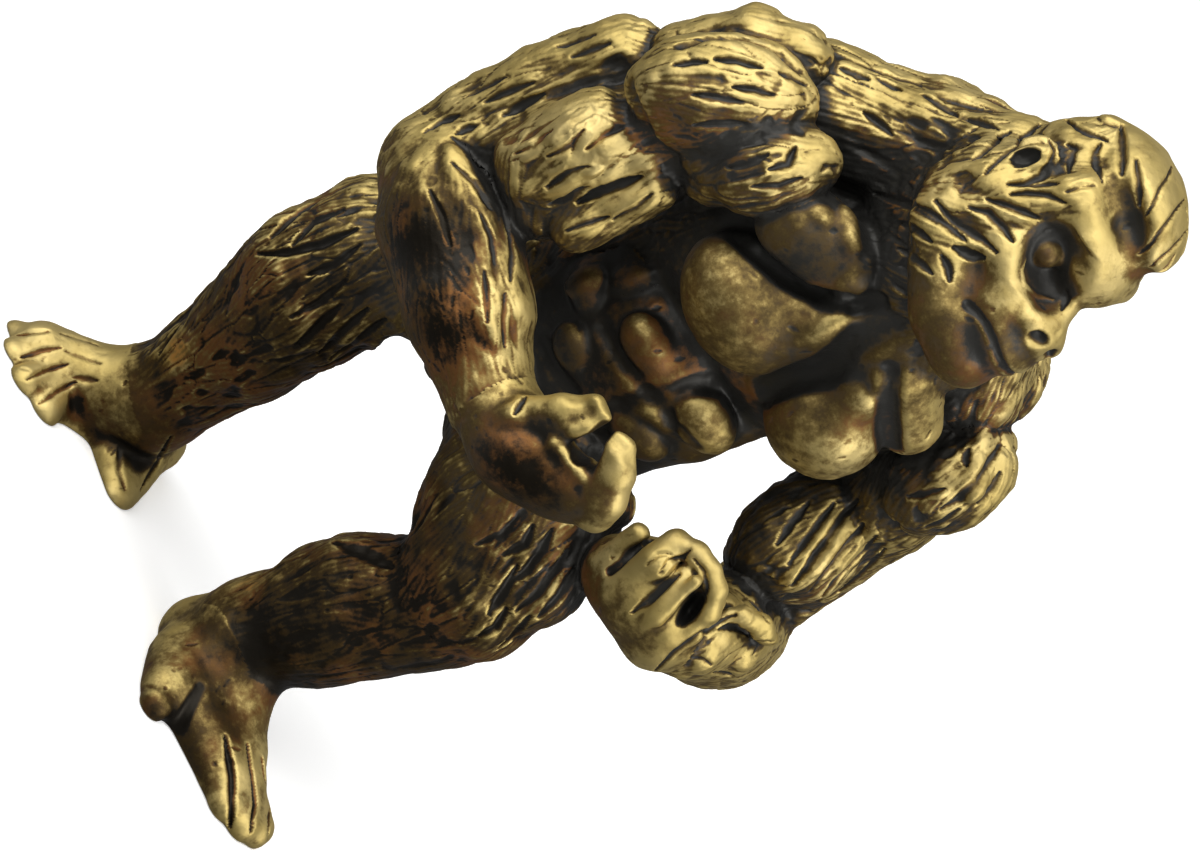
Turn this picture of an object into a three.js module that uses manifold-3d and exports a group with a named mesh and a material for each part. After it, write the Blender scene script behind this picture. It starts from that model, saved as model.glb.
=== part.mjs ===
// Standing gorilla figurine in antique brass: fists drawn together in front of the belly,
// weight on the forward left leg, head turned to its left.
// The figure is a sectional casting. Every section carries a round spigot that sits in a
// socket of the section it is brazed to.
// Millimetres, +Z up. The figure faces -Y and its left side is +X. Both soles rest on Z = 0.
import * as THREE from 'three';
import { mergeVertices } from 'three/addons/utils/BufferGeometryUtils.js';
import Module from 'manifold-3d';

// ---- driving dimensions ----------------------------------------------------------------
const BRAZE_GAP = 0.3;      // clearance between neighbouring sections
const SPIGOT_ROOT = 2.4;    // length of a spigot inside its own section
const SOLE_TRIM = 0.3;      // ground off under the feet so that they stand flat
const CENTRE_X = -0.366;        // middle of the standing figure, sideways
const CENTRE_Y = 1.307;        // middle of the standing figure, front to back
const FINE_RADIUS = 2.2;    // muscles thinner than this take fewer facets
const facets = (r) => (r < FINE_RADIUS ? 7 : 9);        // around a muscle
const rings = (r) => (r < FINE_RADIUS ? 5 : 6);         // along a muscle
const CAP = 2;              // facets from the side of a limb to its end

const wasm = await Module();
wasm.setup();

// ---- building blocks -------------------------------------------------------------------
const vec = (a) => new THREE.Vector3(a[0], a[1], a[2]);

function solidOf(geometry) {
  geometry.deleteAttribute('normal');
  geometry.deleteAttribute('uv');
  const g = mergeVertices(geometry, 1e-4);
  const src = g.index.array;
  const tri = [];
  for (let i = 0; i < src.length; i += 3) {
    const [a, b, c] = [src[i], src[i + 1], src[i + 2]];
    if (a !== b && b !== c && c !== a) tri.push(a, b, c);
  }
  return new wasm.Manifold(new wasm.Mesh({
    numProp: 3,
    vertProperties: new Float32Array(g.attributes.position.array),
    triVerts: new Uint32Array(tri),
  }));
}

// an egg-shaped muscle: centre, half sizes along its own three axes, first axis, third axis
const egg = (centre, half, first, third) => (grow) => {
  const x = vec(first).normalize();
  const z = vec(third).normalize();
  const y = new THREE.Vector3().crossVectors(z, x).normalize();
  const g = new THREE.SphereGeometry(1, facets(half[0]), rings(half[0]));
  g.rotateX(Math.PI / 2);
  g.scale(half[0] + grow, half[1] + grow, half[2] + grow);
  g.applyMatrix4(new THREE.Matrix4().makeBasis(x, y, z).setPosition(vec(centre)));
  return solidOf(g);
};

// a round-ended taper between two points, each with its own radius
const limb = (from, r1, to, r2) => (grow) => {
  const a = vec(from);
  const axis = vec(to).sub(a);
  const length = axis.length();
  const ra = r1 + grow;
  const rb = r2 + grow;
  const lean = Math.asin(THREE.MathUtils.clamp((ra - rb) / length, -0.95, 0.95));
  const profile = [];
  for (let i = 0; i <= CAP; i++) {
    const t = -Math.PI / 2 + ((lean + Math.PI / 2) * i) / CAP;
    profile.push(new THREE.Vector2(i === 0 ? 0 : ra * Math.cos(t), ra * Math.sin(t)));
  }
  for (let i = 0; i <= CAP; i++) {
    const t = lean + ((Math.PI / 2 - lean) * i) / CAP;
    profile.push(new THREE.Vector2(i === CAP ? 0 : rb * Math.cos(t), length + rb * Math.sin(t)));
  }
  const g = new THREE.LatheGeometry(profile, facets(Math.max(r1, r2)));
  const turn = new THREE.Quaternion().setFromUnitVectors(new THREE.Vector3(0, 1, 0), axis.normalize());
  g.applyMatrix4(new THREE.Matrix4().compose(a, turn, new THREE.Vector3(1, 1, 1)));
  return solidOf(g);
};

// a round pin from a point along a direction
const pin = (at, along, back, ahead, radius) => {
  const g = new THREE.CylinderGeometry(radius, radius, back + ahead, 12, 1);
  g.translate(0, (ahead - back) / 2, 0);
  const turn = new THREE.Quaternion().setFromUnitVectors(new THREE.Vector3(0, 1, 0), vec(along).normalize());
  g.applyMatrix4(new THREE.Matrix4().compose(vec(at), turn, new THREE.Vector3(1, 1, 1)));
  return solidOf(g);
};

// everything behind a joint face
const behind = (at, along, shift) => {
  const g = new THREE.BoxGeometry(200, 200, 200);
  g.translate(0, -100 + shift, 0);
  const turn = new THREE.Quaternion().setFromUnitVectors(new THREE.Vector3(0, 1, 0), vec(along).normalize());
  g.applyMatrix4(new THREE.Matrix4().compose(vec(at), turn, new THREE.Vector3(1, 1, 1)));
  return solidOf(g);
};

const ground = (() => {
  const g = new THREE.BoxGeometry(200, 200, 40);
  g.translate(0, 0, -20 + SOLE_TRIM);
  return solidOf(g);
})();

const joined = (forms, grow) => forms.map((f) => f(grow)).reduce((a, b) => a.add(b));

// ---- the sections, muscle by muscle ----------------------------------------------------
const SECTIONS = {
  pelvis: [
    limb([-3.38, 5.22, 27.48], 5.72, [-1.13, 0.83, 34.41], 5.28), // belly
    egg([-3.25, -2.85, 35.03], [2.42, 1.43, 1.65], [0.982, 0.005, -0.187], [0.175, -0.378, 0.909]), // stomach muscle, upper right
    egg([1.26, -3.74, 34.93], [2.42, 1.43, 1.65], [0.982, 0.005, -0.187], [0.175, -0.378, 0.909]), // upper left
    egg([-4.33, -1.02, 31.13], [2.42, 1.43, 1.65], [0.982, 0.005, -0.187], [0.175, -0.378, 0.909]), // middle right
    egg([0.01, -2.56, 31.38], [2.42, 1.43, 1.65], [0.982, 0.005, -0.187], [0.175, -0.378, 0.909]), // middle left
    egg([-5.04, 0.22, 27.51], [2.42, 1.43, 1.65], [0.982, 0.005, -0.187], [0.175, -0.378, 0.909]), // lower right
    egg([-1.08, -1.01, 27.54], [2.42, 1.43, 1.65], [0.982, 0.005, -0.187], [0.175, -0.378, 0.909]), // lower left
    egg([-3.80, 6.32, 26.00], [6.88, 5.50, 4.95], [0.881, -0.465, 0.089], [-0.078, 0.041, 0.996]), // hips
    limb([-4.40, 6.30, 29.05], 4.51, [-9.54, 9.18, 23.86], 4.84), // right hip
    limb([-3.28, 6.08, 29.24], 4.51, [-0.08, 2.46, 24.34], 4.84), // left hip
    egg([-4.90, 11.39, 25.08], [4.40, 4.29, 4.67], [0.881, -0.465, 0.089], [-0.078, 0.041, 0.996]), // right buttock
    egg([-0.33, 9.25, 25.38], [4.40, 4.29, 4.67], [0.881, -0.465, 0.089], [-0.078, 0.041, 0.996]), // left buttock
  ],
  torso: [
    egg([0.93, -0.29, 42.66], [8.80, 5.94, 8.25], [0.982, 0.005, -0.187], [0.175, -0.378, 0.909]), // rib cage
    egg([1.36, 1.73, 46.44], [9.35, 4.29, 8.25], [0.982, 0.005, -0.187], [0.175, -0.378, 0.909]), // back
    egg([-6.48, 2.29, 49.39], [5.06, 3.41, 4.95], [0.982, 0.005, -0.187], [0.175, -0.378, 0.909]), // right shoulder blade
    limb([-6.40, 0.58, 46.24], 4.07, [-4.68, 2.70, 37.72], 3.19), // right flank muscle
    egg([9.73, 2.37, 46.30], [5.06, 3.41, 4.95], [0.982, 0.005, -0.187], [0.175, -0.378, 0.909]), // left shoulder blade
    limb([8.51, 0.65, 43.40], 4.07, [3.75, 2.74, 36.11], 3.19), // left flank muscle
    limb([-0.62, -4.67, 57.66], 3.30, [-3.00, -0.72, 53.84], 3.85), // nape
    limb([-3.00, -0.72, 53.84], 3.85, [-6.89, 0.48, 50.64], 3.85), // right trapezius
    limb([-0.62, -4.67, 57.66], 3.30, [4.62, 0.27, 52.47], 4.18), // nape, left
    limb([4.62, 0.27, 52.47], 4.18, [9.68, -0.57, 46.57], 3.41), // left trapezius
    limb([2.34, -3.04, 48.50], 5.78, [-0.26, -6.26, 55.57], 4.40), // neck
    egg([-3.37, -5.25, 42.02], [4.73, 3.30, 3.85], [0.982, 0.005, -0.187], [0.175, -0.378, 0.909]), // right lower breast muscle
    egg([5.01, -5.33, 40.74], [3.52, 3.30, 3.96], [0.982, 0.005, -0.187], [0.175, -0.378, 0.909]), // left lower breast muscle
    limb([0.30, -7.08, 47.09], 2.53, [-6.07, -6.08, 46.92], 2.31), // right upper breast muscle
    limb([4.08, -7.06, 46.37], 2.42, [8.08, -5.88, 43.91], 2.09), // left upper breast muscle
  ],
  head: [
    egg([1.15, -6.31, 60.91], [4.07, 3.85, 3.74], [0.847, 0.484, -0.220], [0.292, -0.078, 0.953]), // skull
    egg([1.73, -9.07, 57.04], [3.96, 3.41, 4.51], [0.847, 0.484, -0.220], [0.292, -0.078, 0.953]), // face
    egg([2.75, -7.98, 63.40], [3.52, 4.07, 2.48], [0.847, 0.484, -0.220], [0.292, -0.078, 0.953]), // hair crest
    egg([3.15, -9.74, 61.05], [3.41, 1.87, 2.09], [0.847, 0.484, -0.220], [0.292, -0.078, 0.953]), // forehead
    limb([0.19, -11.86, 60.98], 1.10, [2.19, -11.89, 60.59], 1.43), // brow
    limb([2.19, -11.89, 60.59], 1.43, [3.71, -11.21, 59.95], 1.49), // brow
    limb([3.71, -11.21, 59.95], 1.49, [5.17, -10.19, 59.82], 1.43), // brow
    limb([5.17, -10.19, 59.82], 1.43, [5.97, -8.56, 59.48], 0.99), // brow
    egg([0.17, -11.97, 57.17], [1.54, 1.65, 1.32], [0.847, 0.484, -0.220], [0.292, -0.078, 0.953]), // right cheekbone
    limb([-2.64, -9.21, 54.91], 2.20, [-0.12, -11.85, 52.30], 2.09), // right jaw
    egg([-2.49, -8.99, 57.48], [1.98, 3.30, 4.12], [0.847, 0.484, -0.220], [0.292, -0.078, 0.953]), // right cheek hair
    egg([-3.15, -9.01, 60.39], [0.88, 1.43, 1.87], [0.847, 0.484, -0.220], [0.292, -0.078, 0.953]), // right ear
    egg([4.83, -9.31, 55.96], [1.54, 1.65, 1.32], [0.847, 0.484, -0.220], [0.292, -0.078, 0.953]), // left cheekbone
    limb([2.95, -6.01, 53.46], 2.20, [3.04, -10.04, 51.48], 2.09), // left jaw
    egg([3.66, -5.47, 55.88], [1.98, 3.30, 4.12], [0.847, 0.484, -0.220], [0.292, -0.078, 0.953]), // left cheek hair
    egg([5.05, -4.32, 58.26], [0.88, 1.43, 1.87], [0.847, 0.484, -0.220], [0.292, -0.078, 0.953]), // left ear
    egg([2.39, -11.36, 54.57], [3.19, 2.53, 2.20], [0.847, 0.484, -0.220], [0.292, -0.078, 0.953]), // muzzle
    egg([3.89, -13.41, 55.79], [1.54, 1.21, 1.10], [0.847, 0.484, -0.220], [0.292, -0.078, 0.953]), // nose
    egg([1.95, -11.90, 51.66], [2.75, 2.31, 2.20], [0.847, 0.484, -0.220], [0.292, -0.078, 0.953]), // chin
  ],
  right_upper_arm: [
    limb([-11.91, -0.82, 45.90], 3.41, [-17.25, 2.58, 31.64], 2.75), // arm core
    egg([-13.28, -2.91, 47.44], [3.85, 3.41, 3.96], [0.906, -0.423, 0], [0.145, 0.310, 0.940]), // shoulder cap
    egg([-9.35, -5.23, 48.97], [2.86, 2.53, 2.53], [0.906, -0.423, 0], [0.145, 0.310, 0.940]), // front of shoulder
    egg([-13.08, 1.85, 47.25], [2.53, 3.30, 3.74], [0.906, -0.423, 0], [0.145, 0.310, 0.940]), // back of shoulder
    egg([-14.23, -2.35, 38.95], [3.74, 3.19, 3.85], [0.906, -0.423, 0], [0.145, 0.310, 0.940]), // biceps
    limb([-15.67, 2.76, 43.09], 2.53, [-16.35, 3.38, 38.15], 2.75), // triceps, upper
    limb([-16.35, 3.38, 38.15], 2.75, [-17.22, 3.17, 32.88], 2.53), // triceps, lower
  ],
  right_forearm: [
    limb([-17.57, 2.43, 30.87], 2.86, [-15.38, -0.72, 30.59], 3.90), // elbow
    limb([-15.38, -0.72, 30.59], 3.90, [-12.01, -4.72, 29.50], 3.41), // forearm
    limb([-12.01, -4.72, 29.50], 3.41, [-8.90, -8.29, 28.50], 2.42), // wrist
  ],
  right_fist: [
    limb([-8.90, -8.29, 28.50], 2.31, [-6.44, -10.65, 28.74], 2.75), // heel of hand
    egg([-4.81, -11.84, 29.45], [4.18, 2.75, 2.53], [0.906, -0.423, 0], [0.145, 0.310, 0.940]), // closed fingers
    limb([-8.00, -10.83, 29.96], 1.10, [-6.86, -12.46, 34.07], 0.94), // thumb
    limb([-6.86, -12.46, 34.07], 0.94, [-6.09, -13.06, 34.38], 0.71), // thumb tip
    limb([-2.21, -13.84, 30.86], 1.32, [-3.83, -13.75, 33.80], 0.94), // first finger
    limb([-3.83, -13.75, 33.80], 0.94, [-5.12, -13.75, 34.00], 0.66), // first finger tip
    limb([-6.62, -13.18, 30.65], 0.77, [-3.82, -14.48, 30.93], 0.88), // second finger
  ],
  left_upper_arm: [
    limb([12.95, -1.49, 41.21], 3.19, [16.54, 3.51, 25.87], 2.64), // arm core
    egg([12.92, -2.99, 42.93], [3.02, 3.19, 4.07], [0.906, -0.423, 0], [0.145, 0.310, 0.940]), // shoulder cap
    egg([12.12, -1.71, 33.72], [3.41, 3.19, 4.29], [0.906, -0.423, 0], [0.145, 0.310, 0.940]), // biceps
    egg([13.92, 0.49, 42.52], [2.75, 3.19, 3.63], [0.906, -0.423, 0], [0.145, 0.310, 0.940]), // back of shoulder
    limb([14.58, 1.70, 37.40], 2.75, [15.64, 3.33, 31.73], 2.86), // triceps, upper
    limb([15.64, 3.33, 31.73], 2.86, [16.37, 4.20, 27.17], 2.42), // triceps, lower
  ],
  left_forearm: [
    limb([16.88, 3.66, 25.18], 2.86, [14.60, -0.13, 25.76], 3.41), // elbow
    limb([14.60, -0.13, 25.76], 3.41, [11.83, -4.91, 26.84], 3.30), // forearm
    limb([11.83, -4.91, 26.84], 3.30, [9.65, -7.54, 27.23], 2.75), // wrist
  ],
  left_fist: [
    egg([6.40, -8.45, 27.70], [3.41, 3.19, 2.97], [0.906, -0.423, 0], [0.145, 0.310, 0.940]), // closed fingers
    limb([3.00, -7.95, 29.34], 0.71, [3.06, -8.10, 26.37], 0.71), // fourth finger
    limb([4.19, -9.72, 30.55], 1.04, [4.35, -9.68, 26.46], 1.04), // third finger
    limb([6.00, -10.69, 30.82], 0.82, [6.37, -10.74, 26.74], 0.88), // second finger
    limb([4.42, -9.47, 31.12], 0.71, [6.09, -10.00, 31.50], 0.71), // thumb
    limb([6.09, -10.00, 31.50], 0.71, [8.50, -10.03, 30.22], 0.71), // thumb tip
  ],
  right_thigh: [
    limb([-6.76, 7.88, 25.34], 5.06, [-11.81, 9.75, 21.64], 4.84), // hip to thigh
    limb([-11.81, 9.75, 21.64], 4.84, [-12.67, 9.55, 17.97], 4.24), // thigh to knee
  ],
  right_shin: [
    limb([-12.53, 9.61, 17.03], 4.12, [-11.46, 11.11, 12.41], 3.63), // knee
    limb([-11.46, 11.11, 12.41], 3.63, [-10.95, 12.69, 8.10], 3.14), // calf
    limb([-10.95, 12.69, 8.10], 3.14, [-10.66, 13.47, 4.58], 2.75), // lower shin
  ],
  right_foot: [
    limb([-10.66, 13.47, 4.58], 2.64, [-9.87, 14.80, 1.76], 2.42), // ankle
    limb([-7.72, 16.04, 0.87], 1.98, [-12.02, 14.71, 1.33], 2.31), // heel
    limb([-12.02, 14.71, 1.33], 2.31, [-15.53, 14.04, 0.71], 1.76), // instep
    limb([-14.95, 13.95, 0.47], 1.21, [-16.63, 12.00, 0.17], 0.94), // toe 2
    limb([-14.95, 13.95, 0.47], 1.21, [-17.04, 12.80, 0.15], 0.94), // toe 3
    limb([-14.95, 13.95, 0.47], 1.21, [-17.10, 13.68, 0.11], 0.94), // toe 4
    limb([-14.95, 13.95, 0.47], 1.21, [-16.67, 14.57, 0.07], 0.94), // toe 5
    limb([-11.25, 14.35, 1.03], 1.65, [-7.93, 10.86, 0.06], 0.88), // great toe
  ],
  left_thigh: [
    limb([-0.84, 4.76, 25.94], 5.39, [0.62, -1.81, 22.44], 5.61), // hip to thigh
    limb([0.62, -1.81, 22.44], 5.61, [1.63, -3.80, 18.66], 4.62), // thigh to knee
  ],
  left_shin: [
    limb([1.69, -3.70, 16.01], 3.85, [0.21, -1.92, 11.56], 4.40), // knee
    limb([0.21, -1.92, 11.56], 4.40, [-0.18, -1.43, 9.04], 3.85), // calf
    limb([-0.18, -1.43, 9.04], 3.85, [-1.36, -0.28, 4.90], 2.97), // lower shin
  ],
  left_foot: [
    limb([-1.36, -0.28, 4.90], 2.86, [-1.55, 0.12, 2.27], 2.53), // ankle
    limb([-2.26, 1.54, 1.42], 2.09, [-0.29, -2.60, 1.91], 2.31), // heel
    limb([-0.29, -2.60, 1.91], 2.31, [2.14, -6.58, 1.14], 1.65), // instep
    limb([1.99, -6.51, 1.02], 1.21, [4.69, -9.10, 0.64], 0.88), // toe 5
    limb([1.99, -6.51, 1.02], 1.21, [4.35, -9.80, 0.69], 0.88), // toe 4
    limb([1.99, -6.51, 1.02], 1.21, [3.41, -10.21, 0.73], 0.88), // toe 3
    limb([1.99, -6.51, 1.02], 1.21, [2.27, -10.04, 0.75], 0.88), // toe 2
    limb([-1.14, -3.11, 1.49], 1.54, [-4.24, -7.13, 0.76], 0.94), // great toe
  ],
};

// child, parent, point on the joint face, direction into the child, spigot radius, spigot depth
const JOINTS = [
  ['torso', 'pelvis', [-2.27, 1.35, 36.21], [0.175, -0.378, 0.909], 2.00, 3.00],
  ['head', 'torso', [-0.52, -5.69, 55.82], [0.532, -0.770, 0.353], 1.80, 3.00],
  ['right_upper_arm', 'torso', [-7.41, -3.40, 46.72], [-0.982, -0.005, 0.187], 1.80, 3.00],
  ['left_upper_arm', 'torso', [9.22, -2.83, 43.51], [0.982, 0.005, -0.187], 1.80, 3.00],
  ['right_forearm', 'right_upper_arm', [-17.00, 2.34, 31.79], [0.173, -0.440, -0.881], 1.30, 2.60],
  ['left_forearm', 'left_upper_arm', [16.42, 3.15, 26.43], [-0.259, -0.545, -0.798], 1.30, 2.60],
  ['right_fist', 'right_forearm', [-8.36, -8.78, 28.52], [0.681, -0.726, -0.094], 1.10, 2.40],
  ['left_fist', 'left_forearm', [10.05, -7.23, 27.19], [-0.830, -0.541, 0.132], 1.10, 2.40],
  ['right_thigh', 'pelvis', [-8.88, 8.67, 23.79], [-0.773, 0.286, -0.566], 1.80, 2.60],
  ['left_thigh', 'pelvis', [-0.19, 1.81, 24.36], [0.193, -0.866, -0.462], 1.80, 2.60],
  ['right_shin', 'right_thigh', [-12.59, 9.63, 16.85], [0.205, 0.264, -0.942], 1.60, 2.60],
  ['left_shin', 'left_thigh', [1.56, -3.70, 16.62], [-0.034, -0.015, -0.999], 1.60, 2.60],
  ['right_foot', 'right_shin', [-10.64, 13.52, 4.19], [0.081, 0.214, -0.973], 1.20, 2.40],
  ['left_foot', 'left_shin', [-1.39, -0.20, 4.45], [-0.265, 0.259, -0.929], 1.20, 2.40],
];

// ---- putting the sections together -----------------------------------------------------
// the first forms of a section also shape the stump it is brazed to, so both sides meet flush
const STUMP = {
  right_thigh: 1, left_thigh: 1, right_shin: 1, left_shin: 1, right_foot: 1, left_foot: 1,
  right_forearm: 1, left_forearm: 1, right_fist: 1,
};

function section(name) {
  const stumps = JOINTS.filter((j) => j[1] === name).flatMap((j) => SECTIONS[j[0]].slice(0, STUMP[j[0]] ?? 0));
  let body = joined([...SECTIONS[name], ...stumps], 0);
  for (const [child, parent, at, along, radius, depth] of JOINTS) {
    if (child === name) body = body.subtract(behind(at, along, 0)).add(pin(at, along, depth, SPIGOT_ROOT, radius));
  }
  for (const [child, parent, at, along, radius, depth] of JOINTS) {
    if (parent !== name) continue;
    body = body
      .subtract(joined(SECTIONS[child], BRAZE_GAP).subtract(behind(at, along, -BRAZE_GAP)))
      .subtract(pin(at, along, depth + BRAZE_GAP, SPIGOT_ROOT, radius + BRAZE_GAP));
  }
  return body.subtract(ground);
}

const brass = (r, g, b, roughness) => new THREE.MeshStandardMaterial({
  color: new THREE.Color(r, g, b), roughness, metalness: 1,
});

const figurine = new THREE.Group();
figurine.name = 'gorilla_figurine';
for (const name of Object.keys(SECTIONS)) {
  const out = section(name).getMesh();
  const g = new THREE.BufferGeometry();
  g.setAttribute('position', new THREE.BufferAttribute(new Float32Array(out.vertProperties), 3));
  g.setIndex(new THREE.BufferAttribute(new Uint32Array(out.triVerts), 1));
  g.translate(-CENTRE_X, -CENTRE_Y, -SOLE_TRIM);
  g.computeVertexNormals();
  const mesh = new THREE.Mesh(g, brass(0.42, 0.3, 0.1, 0.36));
  mesh.name = name;
  figurine.add(mesh);
}

export default figurine;
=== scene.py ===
# Visual model of the brass gorilla figurine: every section is sculpted from blended muscle forms,
# carved with fur locks and finished as patinated brass.
import math

import bpy
import numpy as np
from mathutils import Matrix, Vector


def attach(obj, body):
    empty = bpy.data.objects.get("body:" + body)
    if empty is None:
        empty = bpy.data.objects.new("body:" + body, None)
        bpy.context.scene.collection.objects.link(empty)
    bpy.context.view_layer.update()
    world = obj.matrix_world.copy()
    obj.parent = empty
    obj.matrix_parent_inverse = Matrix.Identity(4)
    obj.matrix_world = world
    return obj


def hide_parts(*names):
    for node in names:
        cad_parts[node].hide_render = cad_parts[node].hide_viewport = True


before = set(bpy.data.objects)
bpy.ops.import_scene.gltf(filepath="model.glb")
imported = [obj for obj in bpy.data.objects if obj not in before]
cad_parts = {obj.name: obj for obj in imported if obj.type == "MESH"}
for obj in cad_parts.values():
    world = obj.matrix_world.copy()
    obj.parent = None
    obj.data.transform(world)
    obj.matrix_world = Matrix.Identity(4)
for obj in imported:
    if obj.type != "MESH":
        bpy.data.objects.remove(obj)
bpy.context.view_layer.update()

STEP = 2.1          # sculpting grid, in sketch units
RNG = np.random.default_rng(20)

# ---------------------------------------------------------------- posing sketch
K = 0.055                              # millimetres in one sketch unit
SHIFT = (0.366, -1.307, -0.3)          # sketch origin to the figure's own origin, mm
SOLE = 0.3 / K                         # ground off under the feet, sketch units
PSI, ELE, ROLL = math.radians(25.0), math.radians(20.0), math.radians(56.0)
VG = 490.0                             # height of the sketch's middle above the ground line
DIST = 8200.0                          # viewing distance
CP, SP, CE, SE = math.cos(PSI), math.sin(PSI), math.cos(ELE), math.sin(ELE)
W0 = VG / CE * SE


def V3(*a):
    return np.array(a, float)


def nrm(a):
    a = np.asarray(a, float)
    return a / np.linalg.norm(a)


def P(u, v, h):
    """sketch right, sketch up, level distance towards the viewer -> figure frame"""
    z = (v + VG + h * SE) / CE
    s = 1.0 - (h * CE + z * SE - W0) / DIST
    z = (v * s + VG + h * SE) / CE
    return V3(u * s * CP - h * SP, -u * s * SP - h * CP, z)


def Gd(u, h, z):
    """a point by its place on the ground and its height"""
    return P(u, z * CE - h * SE - VG, h)


def to_uvw(p):
    """figure frame -> sketch right, sketch up, depth towards the viewer"""
    u = p[..., 0] * CP - p[..., 1] * SP
    h = -p[..., 0] * SP - p[..., 1] * CP
    w = h * CE + p[..., 2] * SE
    v = p[..., 2] * CE - h * SE - VG
    s = 1.0 - (w - W0) / DIST
    return u / s, v / s, w


def lev(a, b):
    return V3(a * CP - b * SP, -a * SP - b * CP, 0)


Z0 = V3(0, 0, 1)
VU, VH = lev(1, 0), lev(0, 1)
VV = nrm(Z0 * CE - VH * SE)            # up in the sketch
VW = nrm(VH * CE + Z0 * SE)            # towards the viewer

# torso axes: across to its left, forward, up the spine
pel, che, nek = P(-110, -20, -75), P(15, 225, 10), P(60, 370, 55)
tl = nrm(P(245, 262, -70) - P(-180, 285, 128))
ts = nek - pel
ts = nrm(ts - tl * (tl @ ts))
tf = -np.cross(ts, tl)


def T(l, f, s):
    return che + l * tl + f * tf + s * ts


# head axes
f0 = lev(math.sin(math.radians(52)), math.cos(math.radians(52)))
l0 = lev(math.cos(math.radians(52)), -math.sin(math.radians(52)))
pit, rol = math.radians(12), math.radians(13)
hf = nrm(f0 * math.cos(pit) - Z0 * math.sin(pit))
hu = nrm(f0 * math.sin(pit) + Z0 * math.cos(pit))
hl = nrm(l0 * math.cos(rol) - hu * math.sin(rol))
hu = nrm(hu * math.cos(rol) + l0 * math.sin(rol))
HC = P(72, 492, 108)


def H(l, f, s):
    return HC + l * hl + f * hf + s * hu


# ---------------------------------------------------------------- forms
PIECES = [
    "pelvis", "torso", "head", "right_upper_arm", "right_forearm", "right_fist", "left_upper_arm", "left_forearm",
    "left_fist", "right_thigh", "right_shin", "right_foot", "left_thigh", "left_shin", "left_foot",
]
FORMS = []
CUTS = []


def ell(piece, c, r, a=(1, 0, 0), b=(0, 0, 1), k=6.0, into=None):
    """egg: centre, half sizes along a, the third axis and b, and how softly it blends"""
    a = nrm(a)
    b = np.asarray(b, float)
    b = nrm(b - a * (a @ b))
    m = np.array([a, np.cross(b, a), b])
    (FORMS if into is None else into).append((piece, "e", (np.asarray(c, float), np.asarray(r, float), m), k))


def cap(piece, p, q, r1, r2, k=6.0, into=None):
    (FORMS if into is None else into).append((piece, "c", (np.asarray(p, float), np.asarray(q, float), float(r1), float(r2)), k))


def chain(piece, pts, k=6.0, into=None):
    for (p, r), (q, s) in zip(pts[:-1], pts[1:]):
        cap(piece, p, q, r, s, k, into)


def tilt(du, dv):
    """two axes in the sketch plane, the first along (du, dv)"""
    a = nrm(VU * du + VV * dv)
    return a, nrm(-VU * dv + VV * du)


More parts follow.
